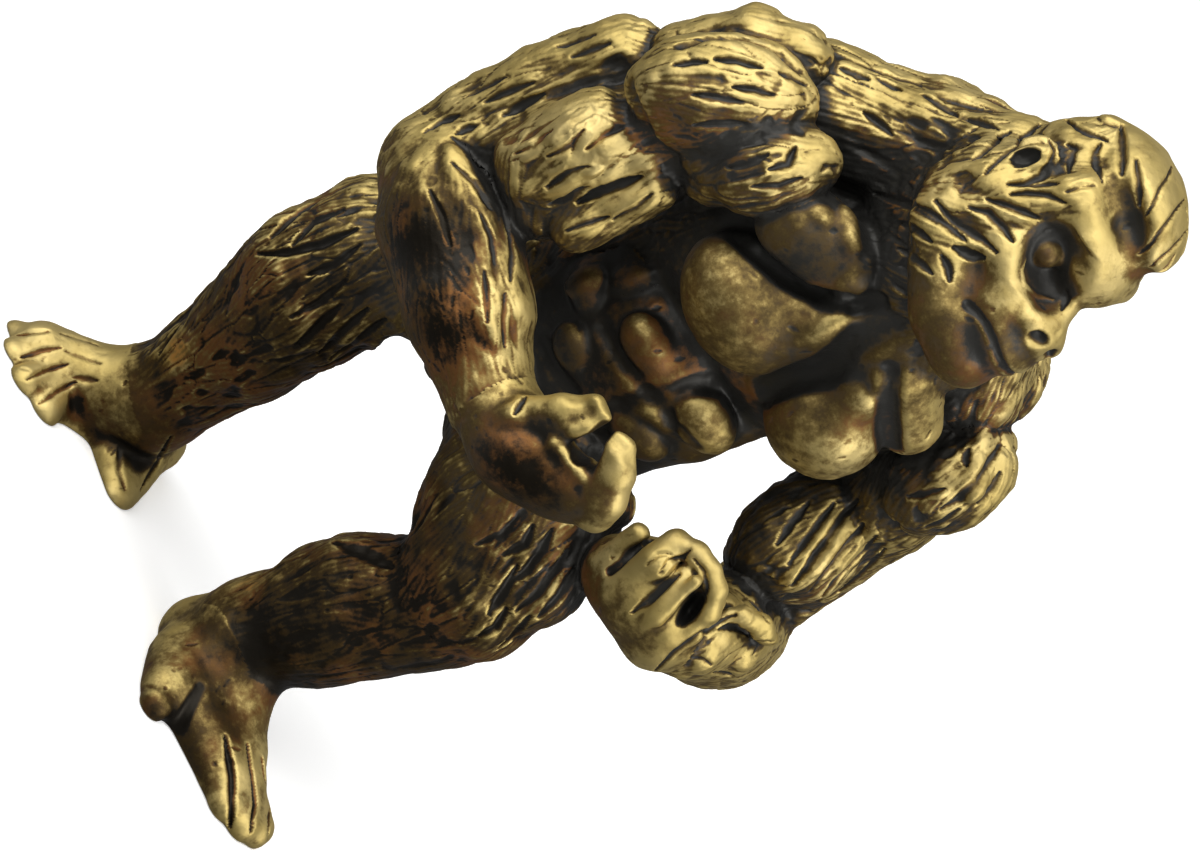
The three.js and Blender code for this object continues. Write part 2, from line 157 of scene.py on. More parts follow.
def body_forms():
    # torso
    t = "torso"
    ell(t, T(5, -15, 10), (160, 108, 150), tl, ts, 10)
    ell(t, T(0, -75, 60), (170, 78, 150), tl, ts, 20)
    for s in (-1, 1):
        ell(t, T(s * 150, -95, 80), (92, 62, 90), tl, ts, 12)
        cap(t, T(s * 138, -45, 40), T(s * 78, -25, -110), 74, 58, 20)
        cap(t, T(s * 30, -124, 138), T(s * 28, -72, -112), 34, 30, 24)
        ell(t, T(s * 105, -140, 95), (60, 28, 55), tl, ts, 10)
    chain(t, [(H(0, -46, -28), 60), (P(-45, 428, 35), 69), (P(-120, 368, 45), 66)], 14)
    chain(t, [(H(0, -46, -28), 60), (P(75, 426, -40), 76), (P(165, 330, -65), 62)], 14)
    cap(t, T(10, -10, 130), H(0, -10, -60), 105, 80, 16)
    a, b = tilt(0.60, 0.80)
    ell(t, T(-74, 80, 14), (78, 60, 58), tl, ts, 8)
    ell(t, P(8, 222, 98), (72, 54, 42), a, b, 18)
    ell(t, P(34, 232, 94), (26, 50, 50), VU, VV, 16)
    ell(t, P(-36, 214, 98), (42, 40, 40), VU, VV, 16)
    ell(t, P(0, 224, 98), (40, 44, 42), VU, VV, 16)
    ell(t, P(44, 254, 98), (22, 50, 44), VU, VV, 16)
    ell(t, T(78, 80, 26), (62, 58, 62), tl, ts, 8)
    ell(t, P(118, 240, 62), (34, 52, 50), VU, VV, 16)
    ell(t, P(-64, 338, 42), (32, 40, 32), VU, VV, 16)
    cap(t, T(-80, 57, 131), T(-134, 52, 100), 39, 42, 5)
    cap(t, T(46, 62, 126), T(112, 58, 96), 42, 36, 5)
    cap(t, P(-116, 180, -10), P(-138, 95, -25), 52, 48, 16)
    # belly and hips
    p = "pelvis"
    cap(p, P(-138, 95, -30), P(-168, 10, -50), 46, 60, 14)
    cap(p, P(-95, 0, -60), P(-25, 100, -5), 104, 96, 8)
    for u, v, h in ((-32, 85, 72), (50, 90, 52), (-64, 25, 50), (20, 32, 42), (-85, -32, 35), (-10, -28, 25)):
        ell(p, P(u, v, h), (44, 28, 30), tl, ts, 4)
    for u, v, h in ((-112, 75, 30), (-130, 25, 5), (-140, -25, -10)):
        ell(p, P(u, v, h), (34, 40, 26), tl, ts, 5)
    chain(p, [(P(58, 128, -10), 42), (P(48, 80, -12), 40), (P(14, 10, -20), 46), (P(0, -30, -25), 46)], 12)
    chain(p, [(P(-96, 120, 20), 40), (P(-128, 40, -10), 42), (P(-145, -20, -30), 46)], 12)
    hipR, hipL = P(-170, -30, -78), P(-50, -22, -72)
    pl = nrm(hipL - hipR)
    ell(p, pel, (125, 100, 90), pl, Z0, 8)
    cap(p, P(-120, 30, -70), P(-225, -55, -78), 82, 88, 14)
    cap(p, P(-100, 35, -75), P(-20, -60, -40), 82, 88, 14)
    ell(p, P(-165, -10, -150), (80, 78, 85), pl, Z0, 8)
    ell(p, P(-75, -5, -150), (80, 78, 85), pl, Z0, 8)
    # legs
    chain("right_thigh", [(hipR, 90), (P(-264, -97, -70), 84), (P(-278, -160, -60), 78)], 10)
    ell("right_thigh", P(-222, -168, -60), (27, 40, 44), VU, VV, 10)
    ell("right_thigh", P(-325, -150, -50), (33, 40, 58), VU, VV, 6)
    ell("right_thigh", P(-232, -120, -30), (34, 36, 64), VU, VV, 6)
    ell("right_thigh", P(-280, -178, -8), (46, 26, 36), VU, VV, 7)
    chain("right_shin", [(P(-276, -175, -62), 75), (P(-268, -240, -95), 66), (P(-270, -300, -125), 57), (P(-270, -352, -140), 50)], 10)
    ell("right_shin", P(-255, -235, -140), (48, 44, 78), VU, VV, 10)
    f = "right_foot"
    cap(f, P(-270, -352, -140), Gd(-266, -168, 48), 49, 46, 26)
    cap(f, Gd(-240, -203, 44), Gd(-300, -150, 42), 36, 44, 26)
    cap(f, P(-276, -362, -132), Gd(-345, -118, 36), 44, 37, 26)
    cap(f, Gd(-300, -150, 42), Gd(-370, -106, 31), 44, 36, 14)
    for u, h, r in ((-400, -108, 18), (-386, -75, 19), (-358, -52, 20), (-324, -54, 20)):
        cap(f, Gd(-345, -112, 29), Gd(u, h, 18), 30, r, 9)
    cap(f, Gd(-282, -150, 38), Gd(-213, -88, 19), 32, 19, 9)
    cap(f, Gd(-312, -84, 16), Gd(-280, -128, 18), 15, 20, 14)
    cap(f, Gd(-240, -203, 44), Gd(-212, -104, 21), 33, 19, 10)
    chain("left_thigh", [(hipL, 96), (P(28, -115, 25), 99), (P(58, -188, 50), 82)], 10)
    ell("left_thigh", P(100, -140, 70), (42, 44, 62), VU, VV, 7)
    ell("left_thigh", P(70, -36, 30), (26, 40, 27), VU, VV, 10)
    ell("left_thigh", P(78, -198, 96), (44, 30, 38), VU, VV, 7)
    chain("left_shin", [(P(60, -232, 48), 65), (P(17, -300, 30), 74), (P(5, -340, 25), 68), (P(-20, -405, 15), 54)], 10)
    ell("left_shin", P(-20, -322, 10), (46, 48, 48), *tilt(0.35, 0.94), 10)
    f = "left_foot"
    cap(f, P(-20, -405, 15), Gd(-26, 10, 50), 53, 48, 26)
    cap(f, Gd(-48, -8, 40), Gd(15, 45, 44), 40, 44, 26)
    cap(f, P(-12, -424, 22), Gd(60, 78, 34), 36, 31, 20)
    cap(f, Gd(15, 45, 42), Gd(88, 98, 28), 40, 30, 14)
    cap(f, P(-22, -432, 40), Gd(-20, 78, 36), 42, 34, 26)
    for du, dh in ((53, 12), (54, 28), (42, 44), (17, 52)):
        cap(f, Gd(72, 92, 26), Gd(88 + du, 96 + dh, 18.5), 28, 18.5, 8)
    cap(f, Gd(-44, 0, 38), Gd(-17, 148, 18), 38, 18, 18)
    cap(f, Gd(-38, 58, 34), Gd(-24, 116, 25), 35, 25, 16)
    cap(f, Gd(0, 96, 28), Gd(76, 126, 24), 34, 27, 20)
    # right arm
    m = "right_upper_arm"
    cap(m, P(-195, 265, 105), P(-308, 20, 90), 60, 48, 8)
    a, b = tilt(0.62, 0.78)
    ell(m, P(-206, 284, 145), (94, 62, 62), a, b, 5)
    a, b = tilt(0.35, 0.94)
    ell(m, P(-112, 288, 152), (64, 48, 42), a, b, 6)
    cap(m, P(-172, 286, 144), P(-124, 282, 142), 42, 40, 14)
    ell(m, P(-150, 240, 140), (42, 42, 36), VU, VV, 10)
    cap(m, P(-164, 314, 138), P(-122, 306, 140), 32, 30, 16)
    chain(m, [(P(-196, 369, 85), 36), (P(-232, 343, 92), 36), (P(-262, 275, 92), 31)], 5)
    ell(m, P(-225, 300, 60), (46, 60, 66), VU, VV, 8)
    ell(m, P(-240, 150, 140), (48, 50, 58), *tilt(0.98, -0.2), 6)
    cap(m, P(-240, 160, 136), P(-252, 92, 138), 46, 44, 8)
    cap(m, P(-165, 178, 140), P(-178, 92, 142), 23, 27, 5)
    cap(m, P(-205, 210, 120), P(-225, 80, 118), 50, 46, 10)
    chain(m, [(P(-287, 226, 75), 47), (P(-304, 145, 75), 50), (P(-317, 44, 82), 47)], 5)
    ell(m, P(-316, 170, 60), (30, 44, 60), VU, VV, 6)
    m = "right_forearm"
    chain(m, [(P(-312, 5, 95), 52), (P(-252, -12, 130), 71), (P(-165, -45, 170), 62), (P(-85, -75, 205), 44)], 10)
    cap(m, P(-300, 22, 120), P(-150, -20, 185), 38, 34, 10)
    f = "right_fist"
    cap(f, P(-85, -75, 205), P(-25, -78, 225), 42, 50, 10)
    ell(f, P(6, -72, 228), (86, 46, 37), *tilt(0.9, 0.44), 10)
    ell(f, P(12, -78, 226), (60, 44, 34), *tilt(0.9, 0.44), 10)
    cap(f, P(-10, -60, 250), P(46, -54, 248), 17, 17, 14)
    cap(f, P(-10, -48, 261), P(44, -42, 259), 7.5, 8, 9)
    chain(f, [(P(-54, -58, 243), 17), (P(-35, -22, 250), 14), (P(-17, 6, 254), 13)], 8)
    chain(f, [(P(-14, -46, 252), 10), (P(-10, -18, 256), 9.5), (P(-8, 8, 256), 11)], 8)
    cap(f, P(-35, -44, 247), P(-14, 0, 255), 16, 13, 10)
    chain(f, [(P(20, 4, 260), 8), (P(33, 2, 258), 13), (P(49, -14, 254), 17), (P(64, -36, 249), 18.5), (P(71, -54, 240), 19)], 12)
    ell(f, P(14, -25, 256), (13, 58, 18), VU, VV, 4, CUTS)
    # daylight between the legs
    ell("right_thigh", P(-163, -130, -60), (31, 150, 25), *tilt(0.95, -0.3), 8, CUTS)
    # left arm
    m = "left_upper_arm"
    cap(m, P(220, 240, -75), P(232, 15, -185), 58, 46, 8)
    ell(m, P(237, 262, -50), (55, 58, 74), VU, VV, 5)
    ell(m, P(225, 275, -115), (50, 58, 66), VU, VV, 6)
    ell(m, P(206, 106, -65), (62, 58, 80), VU, VV, 5)
    ell(m, P(192, 58, -70), (30, 40, 34), VU, VV, 8)
    chain(m, [(P(220, 195, -140), 50), (P(219, 110, -175), 52), (P(228, 40, -195), 44)], 6)
    m = "left_forearm"
    chain(m, [(P(244, 5, -190), 52), (P(236, -10, -110), 60), (P(230, -24, -10), 58), (P(218, -42, 50), 50)], 10)
    chain(m, [(P(228, -4, 66), 8), (P(238, 12, 58), 9), (P(256, 22, 40), 10), (P(272, 24, 20), 10)], 6)
    ell(m, P(262, -10, -20), (30, 60, 38), VU, VV, 8)
    f = "left_fist"
    ell(f, P(170, -53, 88), (62, 56, 55), VU, VV, 8)
    ell(f, P(140, -66, 84), (46, 50, 42), VU, VV, 10)
    ell(f, P(206, -66, 84), (38, 48, 42), VU, VV, 10)
    cap(f, P(112, -30, 112), P(114, -76, 110), 12, 13, 6)
    chain(f, [(P(140, -6, 118), 14), (P(146, -30, 126), 18), (P(147, -78, 122), 18)], 5)
    ell(f, P(180, -36, 126), (43, 20, 14), *tilt(0.28, -0.96), 5)
    cap(f, P(183, -8, 138), P(193, -60, 142), 6, 7, 7)
    chain(f, [(P(140, 1, 114), 10), (P(162, 9, 119), 10), (P(183, 10, 120), 10), (P(201, 4, 116), 11), (P(214, -14, 112), 12), (P(219, -40, 110), 13), (P(217, -66, 108), 15)], 10)
    ell(f, P(212, -60, 112), (16, 22, 18), VU, VV, 8)
    ell(f, P(188, -4, 92), (34, 26, 18), VU, VV, 8)
    ell(f, P(204, -28, 140), (22, 44, 9.5), *tilt(0.34, -0.94), 5, CUTS)


def head_forms():
    h = "head"
    ell(h, H(0, -14, 38), (74, 66, 63), hl, hu, 12)
    ell(h, H(0, -41, 80), (50, 25, 18), hl, hu, 18)
    ell(h, H(0, 45, -20), (72, 62, 82), hl, hu, 14)
    ell(h, H(0, 23, 91), (64, 77, 44), hl, hu, 8)
    ell(h, H(0, 50, 54), (68, 40, 42), hl, hu, 14)
    ell(h, H(0, 69, 46), (67, 39, 29), hl, hu, 18)
    for s in (-1, 1):
        ell(h, H(s * 52, 72, -30), (32, 30, 28), hl, hu, 22)
        ell(h, H(s * 30, 98, -42), (34, 30, 32), hl, hu, 22)
        cap(h, H(s * 60, 20, -80), H(s * 34, 98, -104), 40, 38, 16)
        ell(h, H(s * 66, 8, -35), (36, 60, 75), hl, hu, 14)
        ell(h, H(s * 64, 36, 46), (26, 28, 32), hl, hu, 16)
        ell(h, H(s * 85, -8, 12), (14, 24, 33), hl, hu, 4)
        ell(h, H(s * 99, -4, 11), (14, 9, 15), hl, hu, 4, CUTS)
        ell(h, H(s * 50, 96, 12), (33, 28, 29), hl, hu, 22, CUTS)
        ell(h, H(s * 33, 104, 3), (20, 26, 19), hl, hu, 10, CUTS)
    ell(h, H(0, 108, -58), (58, 44, 36), hl, hu, 18)
    ell(h, H(0, 124, -64), (46, 34, 24), hl, hu, 14)
    cap(h, H(0, 82, 24), H(0, 116, -16), 18, 20, 16)
    ell(h, H(0, 131, -26), (39, 20, 21), hl, hu, 12)
    ell(h, H(0, 120, -104), (50, 40, 36), hl, hu, 14)
    for s in (-1, 1):
        ell(h, H(s * 18, 152, -23), (12, 15, 8), hl - s * 0.35 * hu, hu, 5, CUTS)


def eye_forms():
    h = "head"
    for s in (-1, 1):
        ell(h, H(s * 13, 82, 33), (26, 24, 20), hl, hu, 20)
        ell(h, H(s * 43, 74, 5), (13.5, 13, 13), hl, hu, 9)


body_forms()
head_forms()


# ---------------------------------------------------------------- field
def sd_ell(X, Y, Z, d):
    c, r, m = d
    x, y, z = X - c[0], Y - c[1], Z - c[2]
    p = [(m[i, 0] * x + m[i, 1] * y + m[i, 2] * z) / r[i] for i in range(3)]
    k0 = np.sqrt(p[0] ** 2 + p[1] ** 2 + p[2] ** 2)
    k1 = np.sqrt((p[0] / r[0]) ** 2 + (p[1] / r[1]) ** 2 + (p[2] / r[2]) ** 2)
    return k0 * (k0 - 1.0) / np.maximum(k1, 1e-9)


def sd_cap(X, Y, Z, d):
    a, b, r1, r2 = d
    ba = b - a
    l2 = float(ba @ ba)
    rr = r1 - r2
    a2 = l2 - rr * rr
    if a2 <= 1e-6:
        c, r = (a, r1) if r1 > r2 else (b, r2)
        return np.sqrt((X - c[0]) ** 2 + (Y - c[1]) ** 2 + (Z - c[2]) ** 2) - r
    il2 = 1.0 / l2
    px, py, pz = X - a[0], Y - a[1], Z - a[2]
    y = px * ba[0] + py * ba[1] + pz * ba[2]
    z = y - l2
    x2 = (px * l2 - ba[0] * y) ** 2 + (py * l2 - ba[1] * y) ** 2 + (pz * l2 - ba[2] * y) ** 2
    y2 = y * y * l2
    z2 = z * z * l2
    kk = np.sign(rr) * rr * rr * x2
    out = (np.sqrt(x2 * a2 * il2) + y * rr) * il2 - r1
    out = np.where(np.sign(y) * a2 * y2 < kk, np.sqrt(x2 + y2) * il2 - r1, out)
    return np.where(np.sign(z) * a2 * z2 > kk, np.sqrt(x2 + z2) * il2 - r2, out)


def smin(a, b, k):
    h = np.maximum(k - np.abs(a - b), 0.0) / k
    return np.minimum(a, b) - h * h * k * 0.25


def form_box(f):
    if f[1] == "e":
        c, r, m = f[2]
        e = np.sqrt(((m.T * r) ** 2).sum(1))
        return c - e, c + e
    a, b, r1, r2 = f[2]
    return np.minimum(a - r1, b - r2), np.maximum(a + r1, b + r2)


LO = np.min([form_box(f)[0] for f in FORMS], 0) - 12
HI = np.max([form_box(f)[1] for f in FORMS], 0) + 12
LO[2] = -8.0
NG = np.ceil((HI - LO) / STEP).astype(int) + 1
FIELD = np.full(tuple(NG), 60.0, np.float32)
LABEL = np.zeros(tuple(NG), np.uint8)


def block(f, margin):
    a, b = form_box(f)
    i0 = np.maximum(np.floor((a - margin - LO) / STEP).astype(int), 0)
    i1 = np.minimum(np.ceil((b + margin - LO) / STEP).astype(int) + 1, NG)
    ax = [(LO[j] + STEP * np.arange(i0[j], i1[j])).astype(np.float32) for j in range(3)]
    s = tuple(slice(i0[j], i1[j]) for j in range(3))
    d = (sd_ell if f[1] == "e" else sd_cap)(ax[0][:, None, None], ax[1][None, :, None], ax[2][None, None, :], f[2])
    return s, d.astype(np.float32)


def grow_field(forms, near):
    for f in forms:
        s, d = block(f, 44.0)
        n = near[s]
        closer = d < n
        n[closer] = d[closer]
        LABEL[s][closer] = PIECES.index(f[0]) + 1
        FIELD[s] = smin(FIELD[s], d, f[3])


def sample(pts):
    q = (pts - LO) / STEP
    i = np.clip(np.floor(q).astype(int), 0, NG - 2)
    t = np.clip(q - i, 0, 1).astype(np.float32)
    out = np.zeros(len(pts), np.float32)
    for a in (0, 1):
        for b in (0, 1):
            for c in (0, 1):
                w = (t[:, 0] if a else 1 - t[:, 0]) * (t[:, 1] if b else 1 - t[:, 1]) * (t[:, 2] if c else 1 - t[:, 2])
                out += w * FIELD[i[:, 0] + a, i[:, 1] + b, i[:, 2] + c]
    return out


def gradient(p, e):
    g = np.zeros_like(p)
    for ax in range(3):
        d = np.zeros(3)
        d[ax] = e
        g[:, ax] = sample(p + d) - sample(p - d)
    return g / np.maximum(np.linalg.norm(g, axis=1), 1e-9)[:, None]


def fine_path(pts, every=5.0):
    out = [np.array(pts[0], float)]
    for a, b in zip(pts[:-1], pts[1:]):
        a, b = np.array(a, float), np.array(b, float)
        n = max(1, int(math.ceil(np.linalg.norm(b - a) / every)))
        out += [a + (b - a) * i / n for i in range(1, n + 1)]
    return np.array(out)


def onto(pts):
    """sketch points -> the points of the surface seen there (rows of nan where nothing is seen)"""
    pts = np.asarray(pts, float)
    hs = np.arange(420.0, -420.0, -4.0)
    got = np.full((len(pts), 3), np.nan)
    for i, (u, v) in enumerate(pts):
        ray = np.array([P(u, v, h) for h in (hs[0], hs[-1])])
        line = ray[0] + (ray[1] - ray[0]) * np.linspace(0, 1, len(hs))[:, None]
        d = sample(line)
        inside = np.flatnonzero(d < 0)
        if len(inside) and inside[0] > 0:
            j = inside[0]
            t = d[j - 1] / (d[j - 1] - d[j])
            got[i] = line[j - 1] + (line[j] - line[j - 1]) * t
    return got


def flip_head(p):
    """the same place on the other side of the head"""
    return p - 2 * np.outer((p - HC) @ hl, hl)


near = np.full(tuple(NG), 60.0, np.float32)
grow_field(FORMS, near)
for f in CUTS:
    s, d = block(f, 6.0)
    FIELD[s] = -smin(-FIELD[s], d, f[3])

# lumps set on the surface: piece, place, half sizes, slant, how far it stands out
LUMPS = [
    ("torso", (-22, 317), (28, 15), (-0.9, 0.45), 9), ("torso", (-50, 303), (16, 10), (1, 0.3), 4),
    ("torso", (-103, 106), (24, 15), (0.4, 0.9), 6), ("pelvis", (-129, 66), (22, 15), (0.4, 0.9), 6),
    ("right_fist", (-58, -70), (20, 14), (0.5, 0.85), 5),
    ("right_forearm", (-318, 2), (26, 20), (0.3, 1), 5),
    ("right_forearm", (-262, 22), (60, 22), (0.93, -0.36), 5), ("right_forearm", (-180, -18), (60, 20), (0.9, -0.42), 4),
    ("left_forearm", (268, 14), (18, 14), (0.6, -0.8), 5), ("left_forearm", (282, -14), (16, 13), (0.5, -0.8), 5),
    ("left_forearm", (256, -44), (20, 14), (0.8, -0.5), 5), ("left_forearm", (286, -50), (16, 14), (0.8, -0.5), 4),
    ("right_upper_arm", (-222, 168), (24, 15), (0.5, 0.86), 5), ("right_upper_arm", (-262, 138), (22, 14), (0.3, 0.95), 5),
    ("right_upper_arm", (-270, 92), (20, 14), (0.4, 0.9), 5), ("right_upper_arm", (-216, 100), (24, 14), (0.1, 1), 5),
    ("right_upper_arm", (-162, 152), (26, 11), (0.15, 1), 5), ("right_upper_arm", (-172, 96), (20, 11), (0.3, 0.95), 4),
    ("left_upper_arm", (238, 292), (40, 18), (0.75, -0.66), 6), ("left_upper_arm", (240, 250), (36, 18), (0.6, -0.8), 6),
]
first = len(FORMS)
spots = onto([l[1] for l in LUMPS])
outward = gradient(np.nan_to_num(spots), STEP * 2)
for l, c, n_ in zip(LUMPS, spots, outward):
    if np.isnan(c[0]):
        continue
    a_ = VU * l[3][0] + VV * l[3][1]
    a_ = nrm(a_ - n_ * (a_ @ n_))
    r_ = max(l[4] * 1.6, l[2][1] * 0.8)
    ell(l[0], c + n_ * (l[4] - r_), (l[2][0], l[2][1], r_), a_, n_, 7)
grow_field(FORMS[first:], near)

# deep channels between the masses: half width, depth, path, whether both sides of the head have it
CHANNELS = [
    (10, 11, [(-78, 222), (-50, 229), (-20, 239), (4, 251), (24, 263), (42, 280), (54, 298)], False),
    (12, 6, [(78, 300), (74, 250), (71, 200), (66, 158)], False),
    (9, 8, [(118, 269), (150, 247), (188, 225)], False),
    (3.6, 4.2, [(106, 372), (118, 375), (132, 376), (150, 373), (168, 368), (190, 366)], True),
    (9, 3.2, [(128, 546), (150, 541), (170, 538), (188, 537)], True),
    (9, 5, [(26, 114), (14, 80), (2, 50), (-8, 20), (-18, -16)], False),
    (8, 4, [(-80, 58), (-50, 52), (-15, 56), (12, 60), (40, 62), (70, 66)], False),
    (8, 4, [(-106, -2), (-60, -5), (-22, -2), (10, 2), (46, 8)], False),
    (4, 5, [(122, -16), (125, -48), (126, -74)], False),
    (5, 3, [(-6, -478), (4, -498), (14, -518)], False),
    (6, 6, [(-184, 364), (-211, 356), (-240, 338), (-262, 308), (-272, 280)], False),
    (12, 8, [(-284, 214), (-240, 203), (-195, 199), (-150, 208)], False),
]
# wide shallow hollows: place, half sizes, slant, depth, softness, whether both sides of the head have it
HOLLOWS = [
    ((124, 555), (50, 20), (0.95, -0.30), 20, 16, True),
]
for at_, half, slant, deep, k_, both in HOLLOWS:
    c = onto([at_])
    if np.isnan(c[0, 0]):
        continue
    n_ = gradient(c, STEP * 2)[0]
    a_ = VU * slant[0] + VV * slant[1]
    a_ = nrm(a_ - n_ * (a_ @ n_))
    r_ = max(deep * 1.5, half[1] * 0.9)
    cuts = []
    ell("", c[0] + n_ * (r_ - deep), (half[0], half[1], r_), a_, n_, k_, cuts)
    if both:
        ell("", flip_head((c[0] + n_ * (r_ - deep))[None])[0], (half[0], half[1], r_), a_ - 2 * (a_ @ hl) * hl, n_ - 2 * (n_ @ hl) * hl, k_, cuts)
    for f in cuts:
        s, d = block(f, k_ + 4.0)
        FIELD[s] = -smin(-FIELD[s], d, f[3])

for r_, deep, path, both in CHANNELS:
    way = onto(fine_path(path, 8.0))
    way = way[~np.isnan(way[:, 0])]
    if len(way) < 2:
        continue
    way = way + gradient(way, STEP * 2) * (r_ - deep)
    cuts = []
    for w3 in ((way, flip_head(way)) if both else (way,)):
        for a_, b_ in zip(w3[:-1], w3[1:]):
            if np.linalg.norm(a_ - b_) < 30:
                cap("", a_, b_, r_, r_, 5, cuts)
    cut = np.full(tuple(NG), 60.0, np.float32)
    for f in cuts:
        s, d = block(f, 16.0)
        cut[s] = np.minimum(cut[s], d)
    touched = cut < 20
    FIELD[touched] = -smin(-FIELD[touched], cut[touched], r_ * 1.1)
    del cut, touched

first = len(FORMS)
eye_forms()
grow_field(FORMS[first:], near)
del near
zz = (LO[2] + STEP * np.arange(NG[2])).astype(np.float32)
FIELD = np.maximum(FIELD, SOLE - zz[None, None, :])
LABEL[FIELD >= 0] = 0


# ---------------------------------------------------------------- surface
def surface():
    cs = tuple(NG - 1)
    lo = np.full(cs, 255, np.uint8)
    hi = np.zeros(cs, np.uint8)
    corners = [(a, b, c) for a in (0, 1) for b in (0, 1) for c in (0, 1)]
    for a, b, c in corners:
        v = LABEL[a : a + cs[0], b : b + cs[1], c : c + cs[2]]
        np.minimum(lo, v, out=lo)
        np.maximum(hi, v, out=hi)
    act = lo != hi
    idx = np.argwhere(act)
    num = np.full(cs, -1, np.int32)
    num[act] = np.arange(len(idx))
    owner = hi[act].copy()
    skin = (lo[act] == 0)
    acc = np.zeros((len(idx), 3))
    cnt = np.zeros(len(idx))
    acc2 = np.zeros((len(idx), 3))
    cnt2 = np.zeros(len(idx))
    for p in corners:
        for ax in range(3):
            if p[ax]:
                continue
            q = list(p)
            q[ax] = 1
            ia = tuple(idx[:, j] + p[j] for j in range(3))
            ib = tuple(idx[:, j] + q[j] for j in range(3))
            la, lb = LABEL[ia], LABEL[ib]
            m = (la == 0) != (lb == 0)
            d0, d1 = FIELD[ia][m], FIELD[ib][m]
            pos = np.tile(np.array(p, float), (int(m.sum()), 1))
            pos[:, ax] += np.clip(d0 / np.where(np.abs(d0 - d1) < 1e-9, 1e-9, d0 - d1), 0.02, 0.98)
            acc[m] += pos
            cnt[m] += 1
            m = (la != lb) & (la > 0) & (lb > 0)
            pos = np.tile(np.array(p, float), (int(m.sum()), 1))
            pos[:, ax] += 0.5
            acc2[m] += pos
            cnt2[m] += 1
    use = cnt > 0
    loc = np.where(use[:, None], acc / np.maximum(cnt, 1)[:, None], acc2 / np.maximum(cnt2, 1)[:, None])
    V = LO + STEP * (idx + loc)
    quads = []
    for ax in range(3):
        o = [a for a in range(3) if a != ax]
        s0 = [slice(None)] * 3
        s1 = [slice(None)] * 3
        s0[ax] = slice(0, -1)
        s1[ax] = slice(1, None)
        A, B = LABEL[tuple(s0)], LABEL[tuple(s1)]
        e = np.argwhere(A != B)
        ok = np.ones(len(e), bool)
        for a in o:
            ok &= (e[:, a] > 0) & (e[:, a] < cs[a])
        e = e[ok]
        la, lb = A[tuple(e.T)], B[tuple(e.T)]
        q = []
        for da, db in ((0, 0), (1, 0), (1, 1), (0, 1)):
            g = e.copy()
            g[:, o[0]] -= da
            g[:, o[1]] -= db
            q.append(num[tuple(g.T)])
        q = np.stack(q, 1)
        if ax == 1:
            q = q[:, ::-1]
        quads.append((q, la, lb))
    q = np.concatenate([a[0] for a in quads])
    la = np.concatenate([a[1] for a in quads])
    lb = np.concatenate([a[2] for a in quads])
    return V, skin, owner, q, la, lb


PTS, SKIN, OWNER, QUADS, QA, QB = surface()
NRM = np.zeros_like(PTS)
sk = np.flatnonzero(SKIN)
NRM[sk] = gradient(PTS[sk], STEP * 1.3)
U, Vv, Wd = to_uvw(PTS)


def soft(a, lo, hi):
    t = np.clip((a - lo) / (hi - lo), 0, 1)
    return t * t * (3 - 2 * t)


# ---------------------------------------------------------------- where the fur grows
FUR = np.zeros(len(PTS))
AMOUNT = dict(pelvis=0.8, torso=1.0, head=0.9, right_upper_arm=0.8, right_forearm=0.35, right_fist=0.0, left_upper_arm=1.0,
              left_forearm=0.6, left_fist=0.0, right_thigh=0.9, right_shin=0.75, right_foot=0.0, left_thigh=0.8, left_shin=0.5,
              left_foot=0.0)
for i, n in enumerate(PIECES):
    FUR[OWNER == i + 1] = AMOUNT[n]
q = PTS - HC
hL, hF, hS = q @ hl, q @ hf, q @ hu
is_head = OWNER == PIECES.index("head") + 1
face = soft(hF - 0.28 * np.abs(hL) - 0.04 * np.maximum(hS, 0), 32, 48) * (1 - soft(hS, 74, 84))
FUR = np.where(is_head, FUR * (1 - face) * (1 - 0.85 * soft(hS + 0.5 * hF, 70, 100)), FUR)
q = PTS - che
cL, cF, cS = q @ tl, q @ tf, q @ ts
front = soft(cF, 15, 45) * (1 - soft(np.abs(cL), 165, 190)) * (1 - soft(cS, 150, 185))
FUR = np.where((OWNER == PIECES.index("torso") + 1), FUR * (1 - front), FUR)
belly = soft((PTS - P(-60, 50, -30)) @ nrm(VW * 0.8 + VU * 0.3), 10, 40)
FUR = np.where((OWNER == PIECES.index("pelvis") + 1), FUR * (1 - belly), FUR)
up_ = to_uvw(PTS)[1]
for a_, b_, lo_, hi_ in (("right_thigh", "right_shin", -250, -140), ("left_thigh", "left_shin", -300, -180)):
    leg = (OWNER == PIECES.index(a_) + 1) | (OWNER == PIECES.index(b_) + 1)
    FUR = np.where(leg, AMOUNT[b_] + (AMOUNT[a_] - AMOUNT[b_]) * soft(up_, lo_, hi_), FUR)
FUR[~SKIN] = 0
FUR *= soft(PTS[:, 2], 85, 130)

# ---------------------------------------------------------------- fur direction
FLOW = []


def comb(p, d):
    FLOW.append((np.asarray(p, float), nrm(d)))


def vd(du, dv, dh=0.0):
    return VU * du + Z0 * dv + VH * dh


